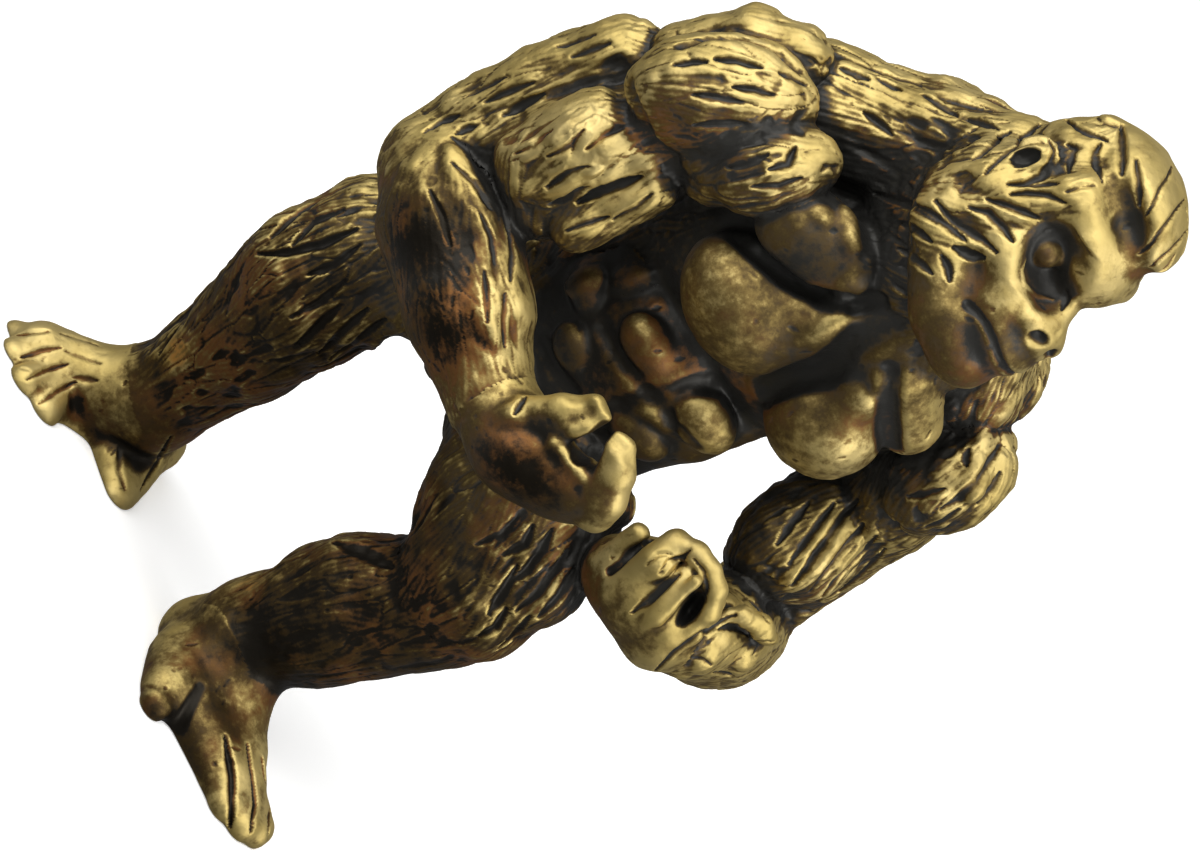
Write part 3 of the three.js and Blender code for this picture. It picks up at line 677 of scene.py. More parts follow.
for p, d in (
    ((110, 600, 130), (0.35, -0.93)), ((150, 585, 150), (0.28, -0.95)), ((55, 600, 110), (0.75, -0.65)), ((20, 575, 110), (-0.9, -0.4)),
    ((18, 505, 170), (-0.3, -0.95)), ((55, 510, 180), (-0.45, -0.9)), ((55, 430, 185), (-0.85, -0.5)), ((20, 375, 160), (-0.85, -0.55)),
    ((-40, 470, 80), (-0.85, -0.5)), ((-120, 420, 100), (-0.8, -0.6)), ((-60, 400, 110), (-0.8, -0.6)), ((-200, 390, 100), (-0.7, -0.7)),
    ((-212, 292, 200), (-0.62, -0.78)), ((-108, 290, 200), (-0.35, -0.94)), ((-270, 290, 120), (-0.5, -0.87)), ((-320, 180, 100), (-0.2, -0.97)),
    ((-225, 130, 200), (0.0, -1.0)), ((-335, 60, 100), (0.0, -1.0)), ((-250, -10, 190), (0.93, -0.36)), ((-150, -50, 210), (0.93, -0.36)),
    ((-270, -110, 0), (-0.1, -1.0)), ((-230, -150, 0), (0.1, -1.0)), ((-270, -270, -60), (0.0, -1.0)), ((60, -150, 110), (0.25, -0.95)),
    ((110, -160, 110), (0.2, -0.97)), ((20, -320, 90), (-0.3, -0.95)), ((245, 260, 20), (0.25, -0.95)), ((215, 110, 0), (0.08, -1.0)),
    ((200, 350, 20), (0.7, -0.7)), ((220, 370, 40), (0.6, -0.8)),
):
    comb(P(*p), vd(*d))
comb(P(262, -20, -60), vd(-0.18, -0.18, 0.97))
comb(P(262, 10, -160), vd(-0.05, -0.3, 0.9))
for p, d in (
    (T(0, -165, 50), -ts), (T(-120, -160, 110), -0.45 * tl - 0.9 * ts), (T(120, -160, 110), 0.45 * tl - 0.9 * ts), (T(0, -150, 170), -ts),
    (T(-190, -60, -40), -ts), (T(190, -60, -40), -ts), (T(-60, -120, -80), -ts), (T(60, -120, -80), -ts), (T(-200, -100, 90), -0.6 * tl - 0.8 * ts),
    (T(200, -100, 90), 0.6 * tl - 0.8 * ts), (H(0, -95, 40), -hu - 0.3 * hf), (H(80, 0, 20), -hu - 0.4 * hf), (H(70, 10, -60), -hf - 0.6 * hu),
    (H(0, -30, 130), hf - 0.2 * hu), (P(-165, -10, -240), -Z0), (P(-75, -5, -240), -Z0), (P(-270, -120, -160), -Z0), (P(30, -120, -70), -Z0 + 0.4 * VU),
    (P(-270, -270, -190), -Z0), (P(20, -320, -50), -Z0), (P(-300, 140, 10), -Z0 - 0.2 * VU), (P(250, 110, -230), -Z0), (P(190, 110, -160), -Z0),
    (P(-260, -10, 60), vd(0.9, -0.3, 0.4)),
):
    comb(p, d)
FP = np.array([f[0] for f in FLOW])
FD = np.array([f[1] for f in FLOW])


def flow(p, n):
    d2 = ((p[:, None, :] - FP[None]) ** 2).sum(2)
    w = 1.0 / (d2 + 600.0) ** 2
    d = (w[:, :, None] * FD[None]).sum(1)
    d -= n * (d * n).sum(1)[:, None]
    return d / np.maximum(np.linalg.norm(d, axis=1), 1e-9)[:, None]


# ---------------------------------------------------------------- fur locks
def lattice(p, freq, seed):
    rng = np.random.default_rng(seed)
    tab = rng.uniform(-1, 1, 4096)
    q = p * freq
    i = np.floor(q).astype(int)
    t = q - i
    t = t * t * (3 - 2 * t)
    out = np.zeros(len(p))
    for a in (0, 1):
        for b in (0, 1):
            for c in (0, 1):
                h = ((i[:, 0] + a) * 73856093 ^ (i[:, 1] + b) * 19349663 ^ (i[:, 2] + c) * 83492791) & 4095
                w = (t[:, 0] if a else 1 - t[:, 0]) * (t[:, 1] if b else 1 - t[:, 1]) * (t[:, 2] if c else 1 - t[:, 2])
                out += w * tab[h]
    return out


def hash_cells(p, size):
    c = np.floor((p - LO) / size).astype(int)
    key = (c[:, 0] * 4096 + c[:, 1]) * 4096 + c[:, 2]
    order = np.argsort(key, kind="stable")
    ks = key[order]
    first = np.flatnonzero(np.r_[True, ks[1:] != ks[:-1]])
    last = np.r_[first[1:], len(ks)]
    return {int(ks[a]): order[a:b] for a, b in zip(first, last)}


def locks(width, length, seed):
    """elongated cells along the fur: nearest distance, gap to the next cell, place along and across the lock"""
    rng = np.random.default_rng(seed)
    cand = np.flatnonzero(FUR > 0.05)
    n = int(len(cand) * STEP * STEP * 0.75 / (width * length * 0.8))
    pick = rng.permutation(cand)[: n * 4]
    # thin out, so that no two locks start on the same spot
    keep = []
    grid = {}
    spc = math.sqrt(width * length) * 0.55
    for i in pick:
        c = tuple(np.floor(PTS[i] / spc).astype(int))
        close = False
        for dx in (-1, 0, 1):
            for dy in (-1, 0, 1):
                for dz in (-1, 0, 1):
                    for j in grid.get((c[0] + dx, c[1] + dy, c[2] + dz), ()):
                        if ((PTS[i] - PTS[j]) ** 2).sum() < spc * spc:
                            close = True
        if close:
            continue
        grid.setdefault(c, []).append(i)
        keep.append(i)
        if len(keep) >= n:
            break
    keep = np.array(keep)
    d = flow(PTS[keep], NRM[keep])
    side = np.cross(NRM[keep], d)
    ang = rng.normal(0, 0.22, len(keep))
    d, side = d * np.cos(ang)[:, None] + side * np.sin(ang)[:, None], side * np.cos(ang)[:, None] - d * np.sin(ang)[:, None]
    L = length * 0.5 * rng.uniform(0.75, 1.35, len(keep))
    Wd_ = width * 0.5 * rng.uniform(0.75, 1.4, len(keep))
    size = length
    cells = hash_cells(PTS[cand], size)
    F1 = np.full(len(PTS), 9.0)
    F2 = np.full(len(PTS), 9.0)
    AL = np.zeros(len(PTS))
    AC = np.zeros(len(PTS))
    ID = np.zeros(len(PTS), int)
    for k, i in enumerate(keep):
        c = np.floor((PTS[i] - LO) / size).astype(int)
        near_ = [cells.get(((c[0] + x) * 4096 + c[1] + y) * 4096 + c[2] + z) for x in (-1, 0, 1) for y in (-1, 0, 1) for z in (-1, 0, 1)]
        near_ = [a for a in near_ if a is not None]
        if not near_:
            continue
        v = cand[np.concatenate(near_)]
        r = PTS[v] - PTS[i]
        al = (r @ d[k]) / L[k]
        ac = r @ side[k]
        up = r @ NRM[i]
        w = Wd_[k] * (1.0 - 0.38 * np.clip(al, -1, 1))
        f = np.sqrt(al ** 2 + (ac / w) ** 2 + (up / (2.2 * w)) ** 2)
        m = (f < F2[v]) & (NRM[v] @ NRM[i] > -0.2)
        v, f, al, ac, w = v[m], f[m], al[m], ac[m], w[m]
        b = f < F1[v]
        F2[v] = np.where(b, F1[v], f)
        vb = v[b]
        F1[vb] = f[b]
        AL[vb] = al[b]
        AC[vb] = ac[b]
        ID[vb] = k
    return F1, F2, AL, AC, ID, rng.uniform(0, 6.28, len(keep))


DISP = np.zeros(len(PTS))
GROOVE = np.zeros(len(PTS))
F1, F2, AL, AC, ID, PH = locks(19.0, 112.0, 3)
gap = np.where(F2 < 8.9, F2 - F1, 1.0)
aside = np.sqrt(np.maximum(F1 ** 2 - AL ** 2, 0)) / np.maximum(F1, 1e-6)
patchy = soft(lattice(PTS, 1 / 48.0, 7), -0.45, 0.35)
gr = (1 - soft(gap, 0.0, 0.30)) * soft(aside, 0.25, 0.75) * (0.2 + 0.8 * patchy)
DISP += FUR * (-1.3 * gr + 0.6 * (1 - np.clip(F1, 0, 1.4) ** 2) + 0.6 * np.sin(PH[ID] * 3) + 0.25 * np.sin(AC * 1.0 + PH[ID]))
GROOVE = np.maximum(GROOVE, 0.35 * FUR * gr)


def streaks(across, along, seed):
    """uneven noise drawn out along the fur"""
    out = np.zeros(len(PTS))
    cand = np.flatnonzero(FUR > 0.02)
    p = PTS[cand]
    w = np.stack([1.0 / (((p - c) ** 2).sum(1) + 600.0) ** 3 for c in FP], 1)
    w /= w.sum(1)[:, None]
    w[w < 0.03] = 0
    tot = np.sqrt((w ** 2).sum(1))
    for i, d in enumerate(FD):
        m = w[:, i] > 0
        if not m.any():
            continue
        q = p[m] / across
        q = q + d * (((p[m] @ d) * (1.0 / along - 1.0 / across))[:, None])
        out[cand[m]] += w[m, i] / tot[m] * lattice(q + 17.3 * i, 1.0, seed + i)
    return out


broad, narrow = streaks(23.0, 95.0, 200), streaks(10.5, 50.0, 400)
carved = soft(0.85 * narrow - 0.42 * broad + 0.42 * lattice(PTS, 1 / 66.0, 21), 0.22, 0.74)
DISP += FUR * (-3.0 * carved + 1.9 * broad + 0.5 * narrow)
GROOVE = np.maximum(GROOVE, 0.85 * FUR * carved)
# ---------------------------------------------------------------- carved lines seen from the front right
CARVE = np.zeros(len(PTS))
RIDGE = np.zeros(len(PTS))
order = sk[np.argsort(PTS[sk, 2], kind="stable")]
heights = PTS[order, 2]


def scratch(way, width, depth):
    lo, hi = way.min(0) - width, way.max(0) + width
    a, b = np.searchsorted(heights, (lo[2], hi[2]))
    m = order[a:b]
    p = PTS[m]
    m = m[((p > lo) & (p < hi)).all(1)]
    if not len(m):
        return
    p = PTS[m]
    best = np.full(len(m), 1e9)
    along = np.zeros(len(m))
    n = len(way) - 1
    for i in range(n):
        a, b = way[i], way[i + 1]
        d = b - a
        l2 = d @ d
        if l2 > 900 or l2 < 1e-9:
            continue
        t = np.clip((p - a) @ d / l2, 0, 1)
        e = np.linalg.norm(p - a - t[:, None] * d, axis=1)
        c = e < best
        best = np.where(c, e, best)
        along = np.where(c, (i + t) / n, along)
    w = width * (0.35 + 0.65 * np.minimum(1, 3.5 * np.minimum(along, 1 - along)))
    prof = np.clip(1 - (best / w) ** 2, 0, 1) ** 1.5
    if depth > 0:
        CARVE[m] = np.maximum(CARVE[m], depth * prof)
    else:
        RIDGE[m] = np.maximum(RIDGE[m], -depth * prof)


def stroke(pts, width, depth):
    way = onto(fine_path(pts))
    way = way[~np.isnan(way[:, 0])]
    if len(way) < 2:
        return
    scratch(way, width, depth)
    mid = (way.mean(0) - HC)
    if np.linalg.norm(mid) < 190 and pts[0][1] > 340:
        way = flip_head(way)
        way = way[(way - HC) @ hl > 5]
        if len(way) > 1:
            scratch(way, width, depth)


STROKES = [
    # hair crest
    (3.8, 3.2, [(105, 620), (113, 610), (117, 598), (124, 588), (132, 570)]),
    (3.8, 3.2, [(140, 612), (146, 595), (152, 578), (158, 560), (160, 543)]),
    (3.8, 3.2, [(165, 602), (172, 585), (176, 568), (178, 545)]),
    (6, 4, [(80, 594), (95, 586), (108, 578), (120, 570)]),
    (7, 5, [(45, 599), (58, 591), (70, 583), (84, 573)]),
    (6, 4, [(22, 584), (34, 592), (48, 598)]),
    (6, 5, [(4, 556), (20, 563), (35, 571), (49, 579)]),
    (6, 4, [(48, 572), (52, 562), (62, 556), (79, 553)]),
    # ear and temple
    (6, 5, [(-5, 535), (-3, 510), (0, 485), (8, 460)]),
    (6, 5, [(14, 534), (26, 533), (37, 520), (41, 505), (37, 488), (28, 474)]),
    (8, 6, [(-16, 505), (-18, 482), (-14, 458)]),
    (5, 4, [(28, 545), (36, 549), (43, 540), (51, 531)]),
    (5, 4, [(56, 515), (47, 502), (39, 488)]),
    (5, 4, [(76, 510), (60, 500), (46, 484), (38, 470)]),
    (5, 3, [(78, 545), (70, 532), (68, 518)]),
    # cheek hair
    (6, 5, [(74, 480), (56, 468), (42, 458), (28, 447)]),
    (7, 5, [(78, 446), (60, 444), (40, 440), (26, 428)]),
    (7, 5, [(78, 425), (60, 420), (45, 412), (25, 405), (2, 404)]),
    (7, 5, [(76, 412), (66, 402), (50, 393)]),
    (6, 5, [(52, 406), (30, 400), (8, 392), (-8, 384)]),
    (6, 5, [(76, 371), (64, 377), (50, 378)]),
    (6, 4, [(22, 393), (0, 385), (-20, 373), (-38, 358)]),
    (6, 4, [(34, 378), (15, 372), (-2, 361)]),
    (6, 4, [(60, 360), (40, 355), (20, 345)]),
    # mouth, chin, nose, eye rims
    (5, -1.5, [(100, 446), (108, 436), (120, 431), (138, 434), (150, 446)]),
    (6, 3, [(150, 462), (158, 456), (163, 448)]),
    # shoulder
    (6, 5, [(-240, 300), (-226, 318), (-206, 335)]),
    (6, 4, [(-192, 346), (-180, 355), (-166, 362)]),
    (6, 5, [(-206, 300), (-192, 316), (-176, 330)]),
    (6, 5, [(-258, 262), (-250, 280), (-242, 292)]),
    (6, 4, [(-222, 262), (-206, 280), (-188, 298)]),
    (6, 4, [(-196, 246), (-182, 268), (-168, 290)]),
    (7, 6, [(-122, 318), (-112, 302), (-117, 284)]),
    (6, 4, [(-92, 305), (-98, 282), (-112, 260)]),
    (6, 4, [(-130, 290), (-134, 268), (-142, 250)]),
    # biceps and triceps
    (7, 6, [(-182, 172), (-188, 150), (-194, 130), (-197, 106)]),
    (6, 5, [(-234, 186), (-240, 165), (-236, 142)]),
    (6, 5, [(-254, 152), (-247, 130), (-252, 106)]),
    (6, 5, [(-220, 134), (-227, 112), (-226, 88)]),
    (6, 4, [(-163, 172), (-158, 150), (-162, 126)]),
    (6, 4, [(-168, 122), (-175, 100), (-180, 80)]),
    (6, 4, [(-204, 122), (-206, 100), (-211, 82)]),
    (6, 4, [(-272, 124), (-269, 100), (-274, 80)]),
    (6, 4, [(-326, 214), (-333, 196), (-339, 176)]),
    (6, 4, [(-312, 222), (-317, 200), (-322, 182)]),
    (6, 5, [(-322, 136), (-328, 112), (-332, 86)]),
    (6, 5, [(-306, 138), (-309, 115), (-312, 92)]),
    (5, 4, [(-341, 116), (-345, 92), (-347, 74)]),
    (6, 4, [(-336, 56), (-340, 36), (-341, 18)]),
    (6, 4, [(-318, 64), (-322, 44)]),
    # trapezius
    (6, 5, [(-132, 424), (-120, 430), (-108, 436)]),
    (6, 4, [(-160, 398), (-148, 408), (-136, 416)]),
    (6, 4, [(-112, 394), (-96, 400), (-78, 404)]),
    (6, 4, [(-92, 452), (-76, 460), (-58, 470)]),
    (6, 4, [(-62, 420), (-48, 432), (-36, 446)]),
    (6, 4, [(-50, 476), (-38, 486), (-24, 496)]),
    # left arm
    (7, 5, [(206, 172), (211, 152), (218, 134), (227, 112), (235, 92), (241, 70)]),
    (7, 5, [(229, 164), (237, 140), (244, 121), (252, 100), (258, 80)]),
    (6, 5, [(246, 168), (253, 145), (260, 121), (264, 100), (266, 80)]),
    (5, 4, [(262, 168), (268, 148), (271, 128), (273, 105)]),
    (6, 4, [(196, 150), (204, 126), (214, 100), (222, 78)]),
    (6, 4, [(180, 130), (188, 104), (198, 80)]),
    (8, 5, [(240, 322), (252, 300), (259, 280), (262, 256), (262, 236)]),
    (6, 4, [(264, 306), (272, 290), (277, 268)]),
    (6, 4, [(226, 292), (232, 285), (239, 281)]),
    (6, 4, [(246, 250), (240, 232), (232, 216)]),
    (6, 4, [(270, 250), (272, 230), (268, 212)]),
    # right forearm
    (5, 2.5, [(-322, 38), (-298, 47), (-270, 48)]),
    (5, 2.5, [(-302, 24), (-272, 32), (-240, 30)]),
    (5, 2.5, [(-264, 46), (-236, 42), (-208, 30)]),
    (5, 2.5, [(-242, 20), (-216, 15), (-192, 4)]),
    (5, 2.5, [(-216, 35), (-190, 22), (-168, 6)]),
    (5, 2.5, [(-192, -10), (-170, -22), (-148, -36)]),
    (5, 2.5, [(-162, -4), (-140, -20), (-118, -34)]),
    (5, 2.5, [(-290, -10), (-262, -14), (-232, -24)]),
    # hands
    (5, 4, [(-66, -46), (-62, -56), (-57, -65)]),
    (7, 4, [(168, -18), (171, -45), (174, -78)]),
    (4, 4, [(154, 5), (156, -5), (151, -18), (157, -33)]),
    (3.5, 3, [(146, -14), (140, -24), (142, -40)]),
    (4, 3, [(164, 3), (180, 4), (194, -2), (203, -11)]),
    (6, 4, [(233, 6), (230, -25), (231, -60), (235, -92)]),
    (5, 4, [(236, -16), (239, -6), (246, 1), (256, 5)]),
    (4, 3, [(230, 27), (242, 30), (258, 30)]),
    (4, 2.5, [(246, -54), (253, -46), (262, -42)]),
    (4, 2.5, [(264, 8), (272, 14), (280, 22)]),
    (4, 2.5, [(268, -44), (276, -36), (284, -30)]),
    # feet
    (4.5, 2.2, [(-386, -404), (-394, -418), (-401, -434)]),
    (4.5, 2.4, [(-366, -404), (-374, -422), (-380, -442)]),
    (4.5, 2.4, [(-348, -408), (-355, -428), (-358, -450)]),
    (4.5, 2.4, [(-329, -410), (-331, -430), (-332, -454)]),
    (5, 1.4, [(-346, -372), (-362, -384), (-378, -396)]),
    (5, 1.4, [(-330, -380), (-346, -392), (-360, -402)]),
    (5, 1.4, [(-318, -392), (-326, -402), (-334, -410)]),
    (4.5, 3.5, [(-230, -362), (-216, -388), (-203, -418)]),
    (6, 6, [(48, -484), (85, -501), (112, -519), (126, -532)]),
    (5, 5, [(68, -471), (100, -486), (122, -498), (142, -517)]),
    (5, 4, [(86, -466), (112, -477), (136, -489), (153, -503)]),
    (5, 1.6, [(-252, -410), (-232, -424), (-212, -430)]),
    # thighs and knees
    (7, 5, [(-344, -92), (-347, -130), (-340, -168)]),
    (7, 5, [(-325, -92), (-329, -125), (-322, -154)]),
    (7, 5, [(-300, -92), (-306, -130), (-318, -162), (-334, -188)]),
    (6, 4, [(-284, -98), (-282, -132), (-288, -158)]),
    (7, 5, [(-226, -128), (-220, -160), (-214, -194)]),
    (6, 5, [(-208, -118), (-206, -150), (-204, -188)]),
    (6, 4, [(-244, -148), (-239, -180), (-235, -208)]),
    (6, 4, [(-262, -130), (-258, -165), (-262, -195)]),
    (7, 5, [(46, -112), (58, -130), (55, -154)]),
    (7, 5, [(60, -98), (72, -120), (80, -140), (82, -164)]),
    (7, 5, [(84, -98), (95, -120), (105, -145), (108, -174)]),
    (7, 5, [(104, -102), (118, -130), (126, -158)]),
    (7, 5, [(72, -148), (85, -175), (96, -198)]),
    (6, 5, [(100, -180), (110, -200), (108, -220)]),
    (6, 5, [(120, -165), (128, -190), (128, -210)]),
    (6, 4, [(30, -120), (36, -145), (30, -170)]),
    (12, 3.2, [(2, -252), (-16, -261), (-34, -271), (-52, -286)]),
]
for w_, d_, pts_ in STROKES:
    stroke(pts_, w_, d_)
# small nicks and casting pits all over
nick = np.random.default_rng(77)
for i in nick.choice(sk, 1100, replace=False):
    turn = nrm(nick.normal(size=3))
    way = flow(PTS[i][None], NRM[i][None])[0] + 0.7 * (turn - NRM[i] * (turn @ NRM[i]))
    long_, wide, deep = nick.uniform(2, 13), nick.uniform(2.4, 4.6), nick.uniform(0.3, 1.0)
    if PTS[i, 2] > SOLE + 12:
        scratch(PTS[i] + nrm(way) * np.array([[-0.5], [0.0], [0.5]]) * long_, wide, deep)
DISP = DISP * (1 - 0.6 * np.clip(CARVE / 4, 0, 1)) - CARVE + RIDGE
GROOVE = np.maximum(GROOVE, np.clip(CARVE / 5.0, 0, 1))


# ---------------------------------------------------------------- casting skin: a fine uneven surface
ROUGH = lattice(PTS, 1 / 62.0, 4) * 1.6 + lattice(PTS, 1 / 26.0, 1) * 1.7 + lattice(PTS, 1 / 11.0, 2) * 0.9
DISP += ROUGH * (0.55 + 0.9 * FUR) * SKIN
GROUND = soft(PTS[:, 2] - SOLE, 0.5, 6.0)
DISP *= SKIN * GROUND
SHAPE = PTS + NRM * DISP[:, None]

# ---------------------------------------------------------------- patina in the hollows and painted shade, for the finish
quad_skin = (QA == 0) | (QB == 0)
OQ = QUADS[quad_skin]
OF = np.where((QA == 0)[quad_skin][:, None], OQ[:, ::-1], OQ)     # outward


def face_normals(p, q):
    return np.cross(p[q[:, 2]] - p[q[:, 0]], p[q[:, 3]] - p[q[:, 1]])


fn = face_normals(SHAPE, OF)
VN = np.zeros_like(SHAPE)
for j in range(4):
    for ax in range(3):
        VN[:, ax] += np.bincount(OF[:, j], fn[:, ax], len(SHAPE))
if (VN[sk] * NRM[sk]).sum() < 0:
    OF = OF[:, ::-1]
    VN = -VN
    FLIP = True
else:
    FLIP = False
VN /= np.maximum(np.linalg.norm(VN, axis=1), 1e-9)[:, None]

edges = np.concatenate([OF[:, [j, (j + 1) % 4]] for j in range(4)])
deg = np.maximum(np.bincount(edges[:, 0], minlength=len(SHAPE)), 1)


def spread(a, times):
    for _ in range(times):
        if a.ndim == 1:
            s = np.bincount(edges[:, 0], a[edges[:, 1]], len(a)) / deg
            a = 0.5 * a + 0.5 * np.where(deg > 1, s, a)
        else:
            a = np.stack([spread(a[:, i], 1) for i in range(a.shape[1])], 1)
    return a


near_ = ((spread(SHAPE, 5) - SHAPE) * VN).sum(1)
wide_ = ((spread(SHAPE, 60) - SHAPE) * VN).sum(1)
# occlusion at four reaches round each point: drives painted shade in closed-in places
OCC = np.zeros(len(SHAPE))
for t, w in ((6, 0.2), (12, 0.25), (22, 0.3), (38, 0.25)):
    o = np.zeros(len(SHAPE))
    o[sk] = np.clip(1 - sample(PTS[sk] + NRM[sk] * t) / t, 0, 1)
    OCC += w * o
# small hollows hold patina; wide hollows are darkened as patina and painted shade together
CAV = np.clip(near_ / 1.2, -1, 1)
DIP = np.clip(wide_ / 4.0, -1, 1)


def crowding(size, sigma):
    """how much metal stands round each point, on a coarse copy of the field"""
    n = max(1, int(round(size / STEP)))
    m = (np.array(FIELD.shape) // n) * n
    c = (FIELD[: m[0], : m[1], : m[2]] < 0).reshape(m[0] // n, n, m[1] // n, n, m[2] // n, n).mean((1, 3, 5)).astype(np.float32)
    pad = int(3 * sigma / (n * STEP)) + 1
    c = np.pad(c, pad)
    k = np.exp(-0.5 * ((np.arange(-pad, pad + 1) * n * STEP) / sigma) ** 2)
    k /= k.sum()
    for ax in range(3):
        o = np.zeros_like(c)
        for i, w in zip(range(-pad, pad + 1), k):
            o += w * np.roll(c, i, ax)
        c = o
    q = (PTS[sk] + NRM[sk] * sigma * 0.7 - LO) / (n * STEP) - 0.5 + pad
    i = np.clip(np.floor(q).astype(int), 0, np.array(c.shape) - 2)
    t = np.clip(q - i, 0, 1)
    out = np.zeros(len(q))
    for a in (0, 1):
        for b in (0, 1):
            for d in (0, 1):
                w = (t[:, 0] if a else 1 - t[:, 0]) * (t[:, 1] if b else 1 - t[:, 1]) * (t[:, 2] if d else 1 - t[:, 2])
                out += w * c[i[:, 0] + a, i[:, 1] + b, i[:, 2] + d]
    full = np.zeros(len(PTS))
    full[sk] = out
    return full


# metal crowding round each point: painted shade between the limbs and the body
CROWD = crowding(12.0, 55.0)

# ---------------------------------------------------------------- material
def brass(name, fur):
    m = bpy.data.materials.new(name)
    m.use_nodes = True
    nt = m.node_tree
    n, l = nt.nodes, nt.links
    bs = n["Principled BSDF"]

    def node(kind, **kw):
        x = n.new(kind)
        for a, b in kw.items():
            setattr(x, a, b)
        return x

    def attr(nm):
        return node("ShaderNodeAttribute", attribute_name=nm).outputs["Fac"]

    def math_(op, a, b=None, clamp=False):
        x = node("ShaderNodeMath", operation=op, use_clamp=clamp)
        for i, v in enumerate((a, b)):
            if v is None:
                continue
            if isinstance(v, (int, float)):
                x.inputs[i].default_value = v
            else:
                l.new(v, x.inputs[i])
        return x.outputs[0]

    def ramp(f, a, b):
        x = node("ShaderNodeMapRange", interpolation_type="SMOOTHSTEP")
        l.new(f, x.inputs["Value"])
        x.inputs["From Min"].default_value = a
        x.inputs["From Max"].default_value = b
        return x.outputs["Result"]

    def mix(f, a, b):
        x = node("ShaderNodeMix", data_type="RGBA")
        l.new(f, x.inputs[0])
        for sock, v in ((6, a), (7, b)):
            if isinstance(v, tuple):
                x.inputs[sock].default_value = (*v, 1)
            else:
                l.new(v, x.inputs[sock])
        return x.outputs[2]

    tc = node("ShaderNodeTexCoord").outputs["Object"]

    def noise(scale, detail, rough=0.6):
        x = node("ShaderNodeTexNoise")
        l.new(tc, x.inputs["Vector"])
        x.inputs["Scale"].default_value = scale
        x.inputs["Detail"].default_value = detail
        x.inputs["Roughness"].default_value = rough
        return x.outputs["Fac"]

    mottled = noise(420, 5)
    grit = noise(1150, 4)
    fine = noise(2900, 4, 0.65)
    cloudy = noise(130, 3)
    patina_shade_value = attr("patina_and_shade")
    # break the edge of the patina and painted shade up with the grain of the casting
    edge = patina_shade_value
    for grain, share in ((mottled, 0.42), (grit, 0.64), (fine, 0.62)):
        edge = math_("ADD", edge, math_("MULTIPLY", math_("SUBTRACT", grain, 0.5), share))
    # colour from the patina value, patina and painted shade together: gold, olive, warm brown, near black
    dark = ramp(edge, 0.36, 0.78)
    gold = mix(ramp(cloudy, 0.35, 0.68), (0.52, 0.400, 0.140), (0.62, 0.490, 0.205))
    gold = mix(ramp(mottled, 0.42, 0.75), gold, (0.41, 0.310, 0.105))
    gold = mix(ramp(attr("rust"), 0.80, 1.25), gold, (0.54, 0.300, 0.085))
    olive = mix(ramp(edge, 0.00, 0.34), gold, (0.25, 0.178, 0.062))
    red = math_("ADD", cloudy, math_("MULTIPLY", attr("rust"), 0.16))
    low = ramp(attr("rust"), 0.15, 0.70)
    warm = mix(ramp(red, 0.50, 0.70), mix(low, (0.078, 0.052, 0.021), (0.056, 0.034, 0.011)), (0.165, 0.072, 0.022))
    stain_and_shade = mix(ramp(edge, 0.20, 0.60), olive, warm)
    col = mix(ramp(edge, 0.54, 1.00), stain_and_shade, mix(low, (0.026, 0.025, 0.022), (0.012, 0.009, 0.005)))
    l.new(col, bs.inputs["Base Color"])
    thick = math_("SUBTRACT", 0.42, math_("MULTIPLY", low, 0.26))
    l.new(math_("SUBTRACT", 0.97, math_("MULTIPLY", dark, thick)), bs.inputs["Metallic"])
    r = math_("SUBTRACT", 0.57, math_("MULTIPLY", dark, 0.10))
    r = math_("ADD", r, math_("MULTIPLY", math_("SUBTRACT", mottled, 0.5), 0.20))
    r = math_("ADD", r, math_("MULTIPLY", math_("SUBTRACT", grit, 0.5), 0.15))
    l.new(r, bs.inputs["Roughness"])
    bs.inputs["Specular IOR Level"].default_value = 0.32
    last = None
    for grain, strength, high in ((mottled, 0.50, 0.00012), (grit, 0.60, 0.00006), (fine, 0.40, 0.00003)):
        b = node("ShaderNodeBump")
        b.inputs["Strength"].default_value = strength
        b.inputs["Distance"].default_value = high
        l.new(grain, b.inputs["Height"])
        if last is not None:
            l.new(last, b.inputs["Normal"])
        last = b.outputs["Normal"]
    l.new(last, bs.inputs["Normal"])
    return m


MATS = {"fur_brass": brass("antique brass, fur", True), "skin_brass": brass("antique brass, skin", False)}
SKIN_PIECES = {"right_fist", "left_fist", "right_foot", "left_foot"}
# painted shade: surfaces facing down, away from the light above and to the left, are darkened
UNDERSIDE_SHADE = 1 - soft(VN @ nrm(Z0 * 0.92 - VU * 0.25), -0.25, 0.78)
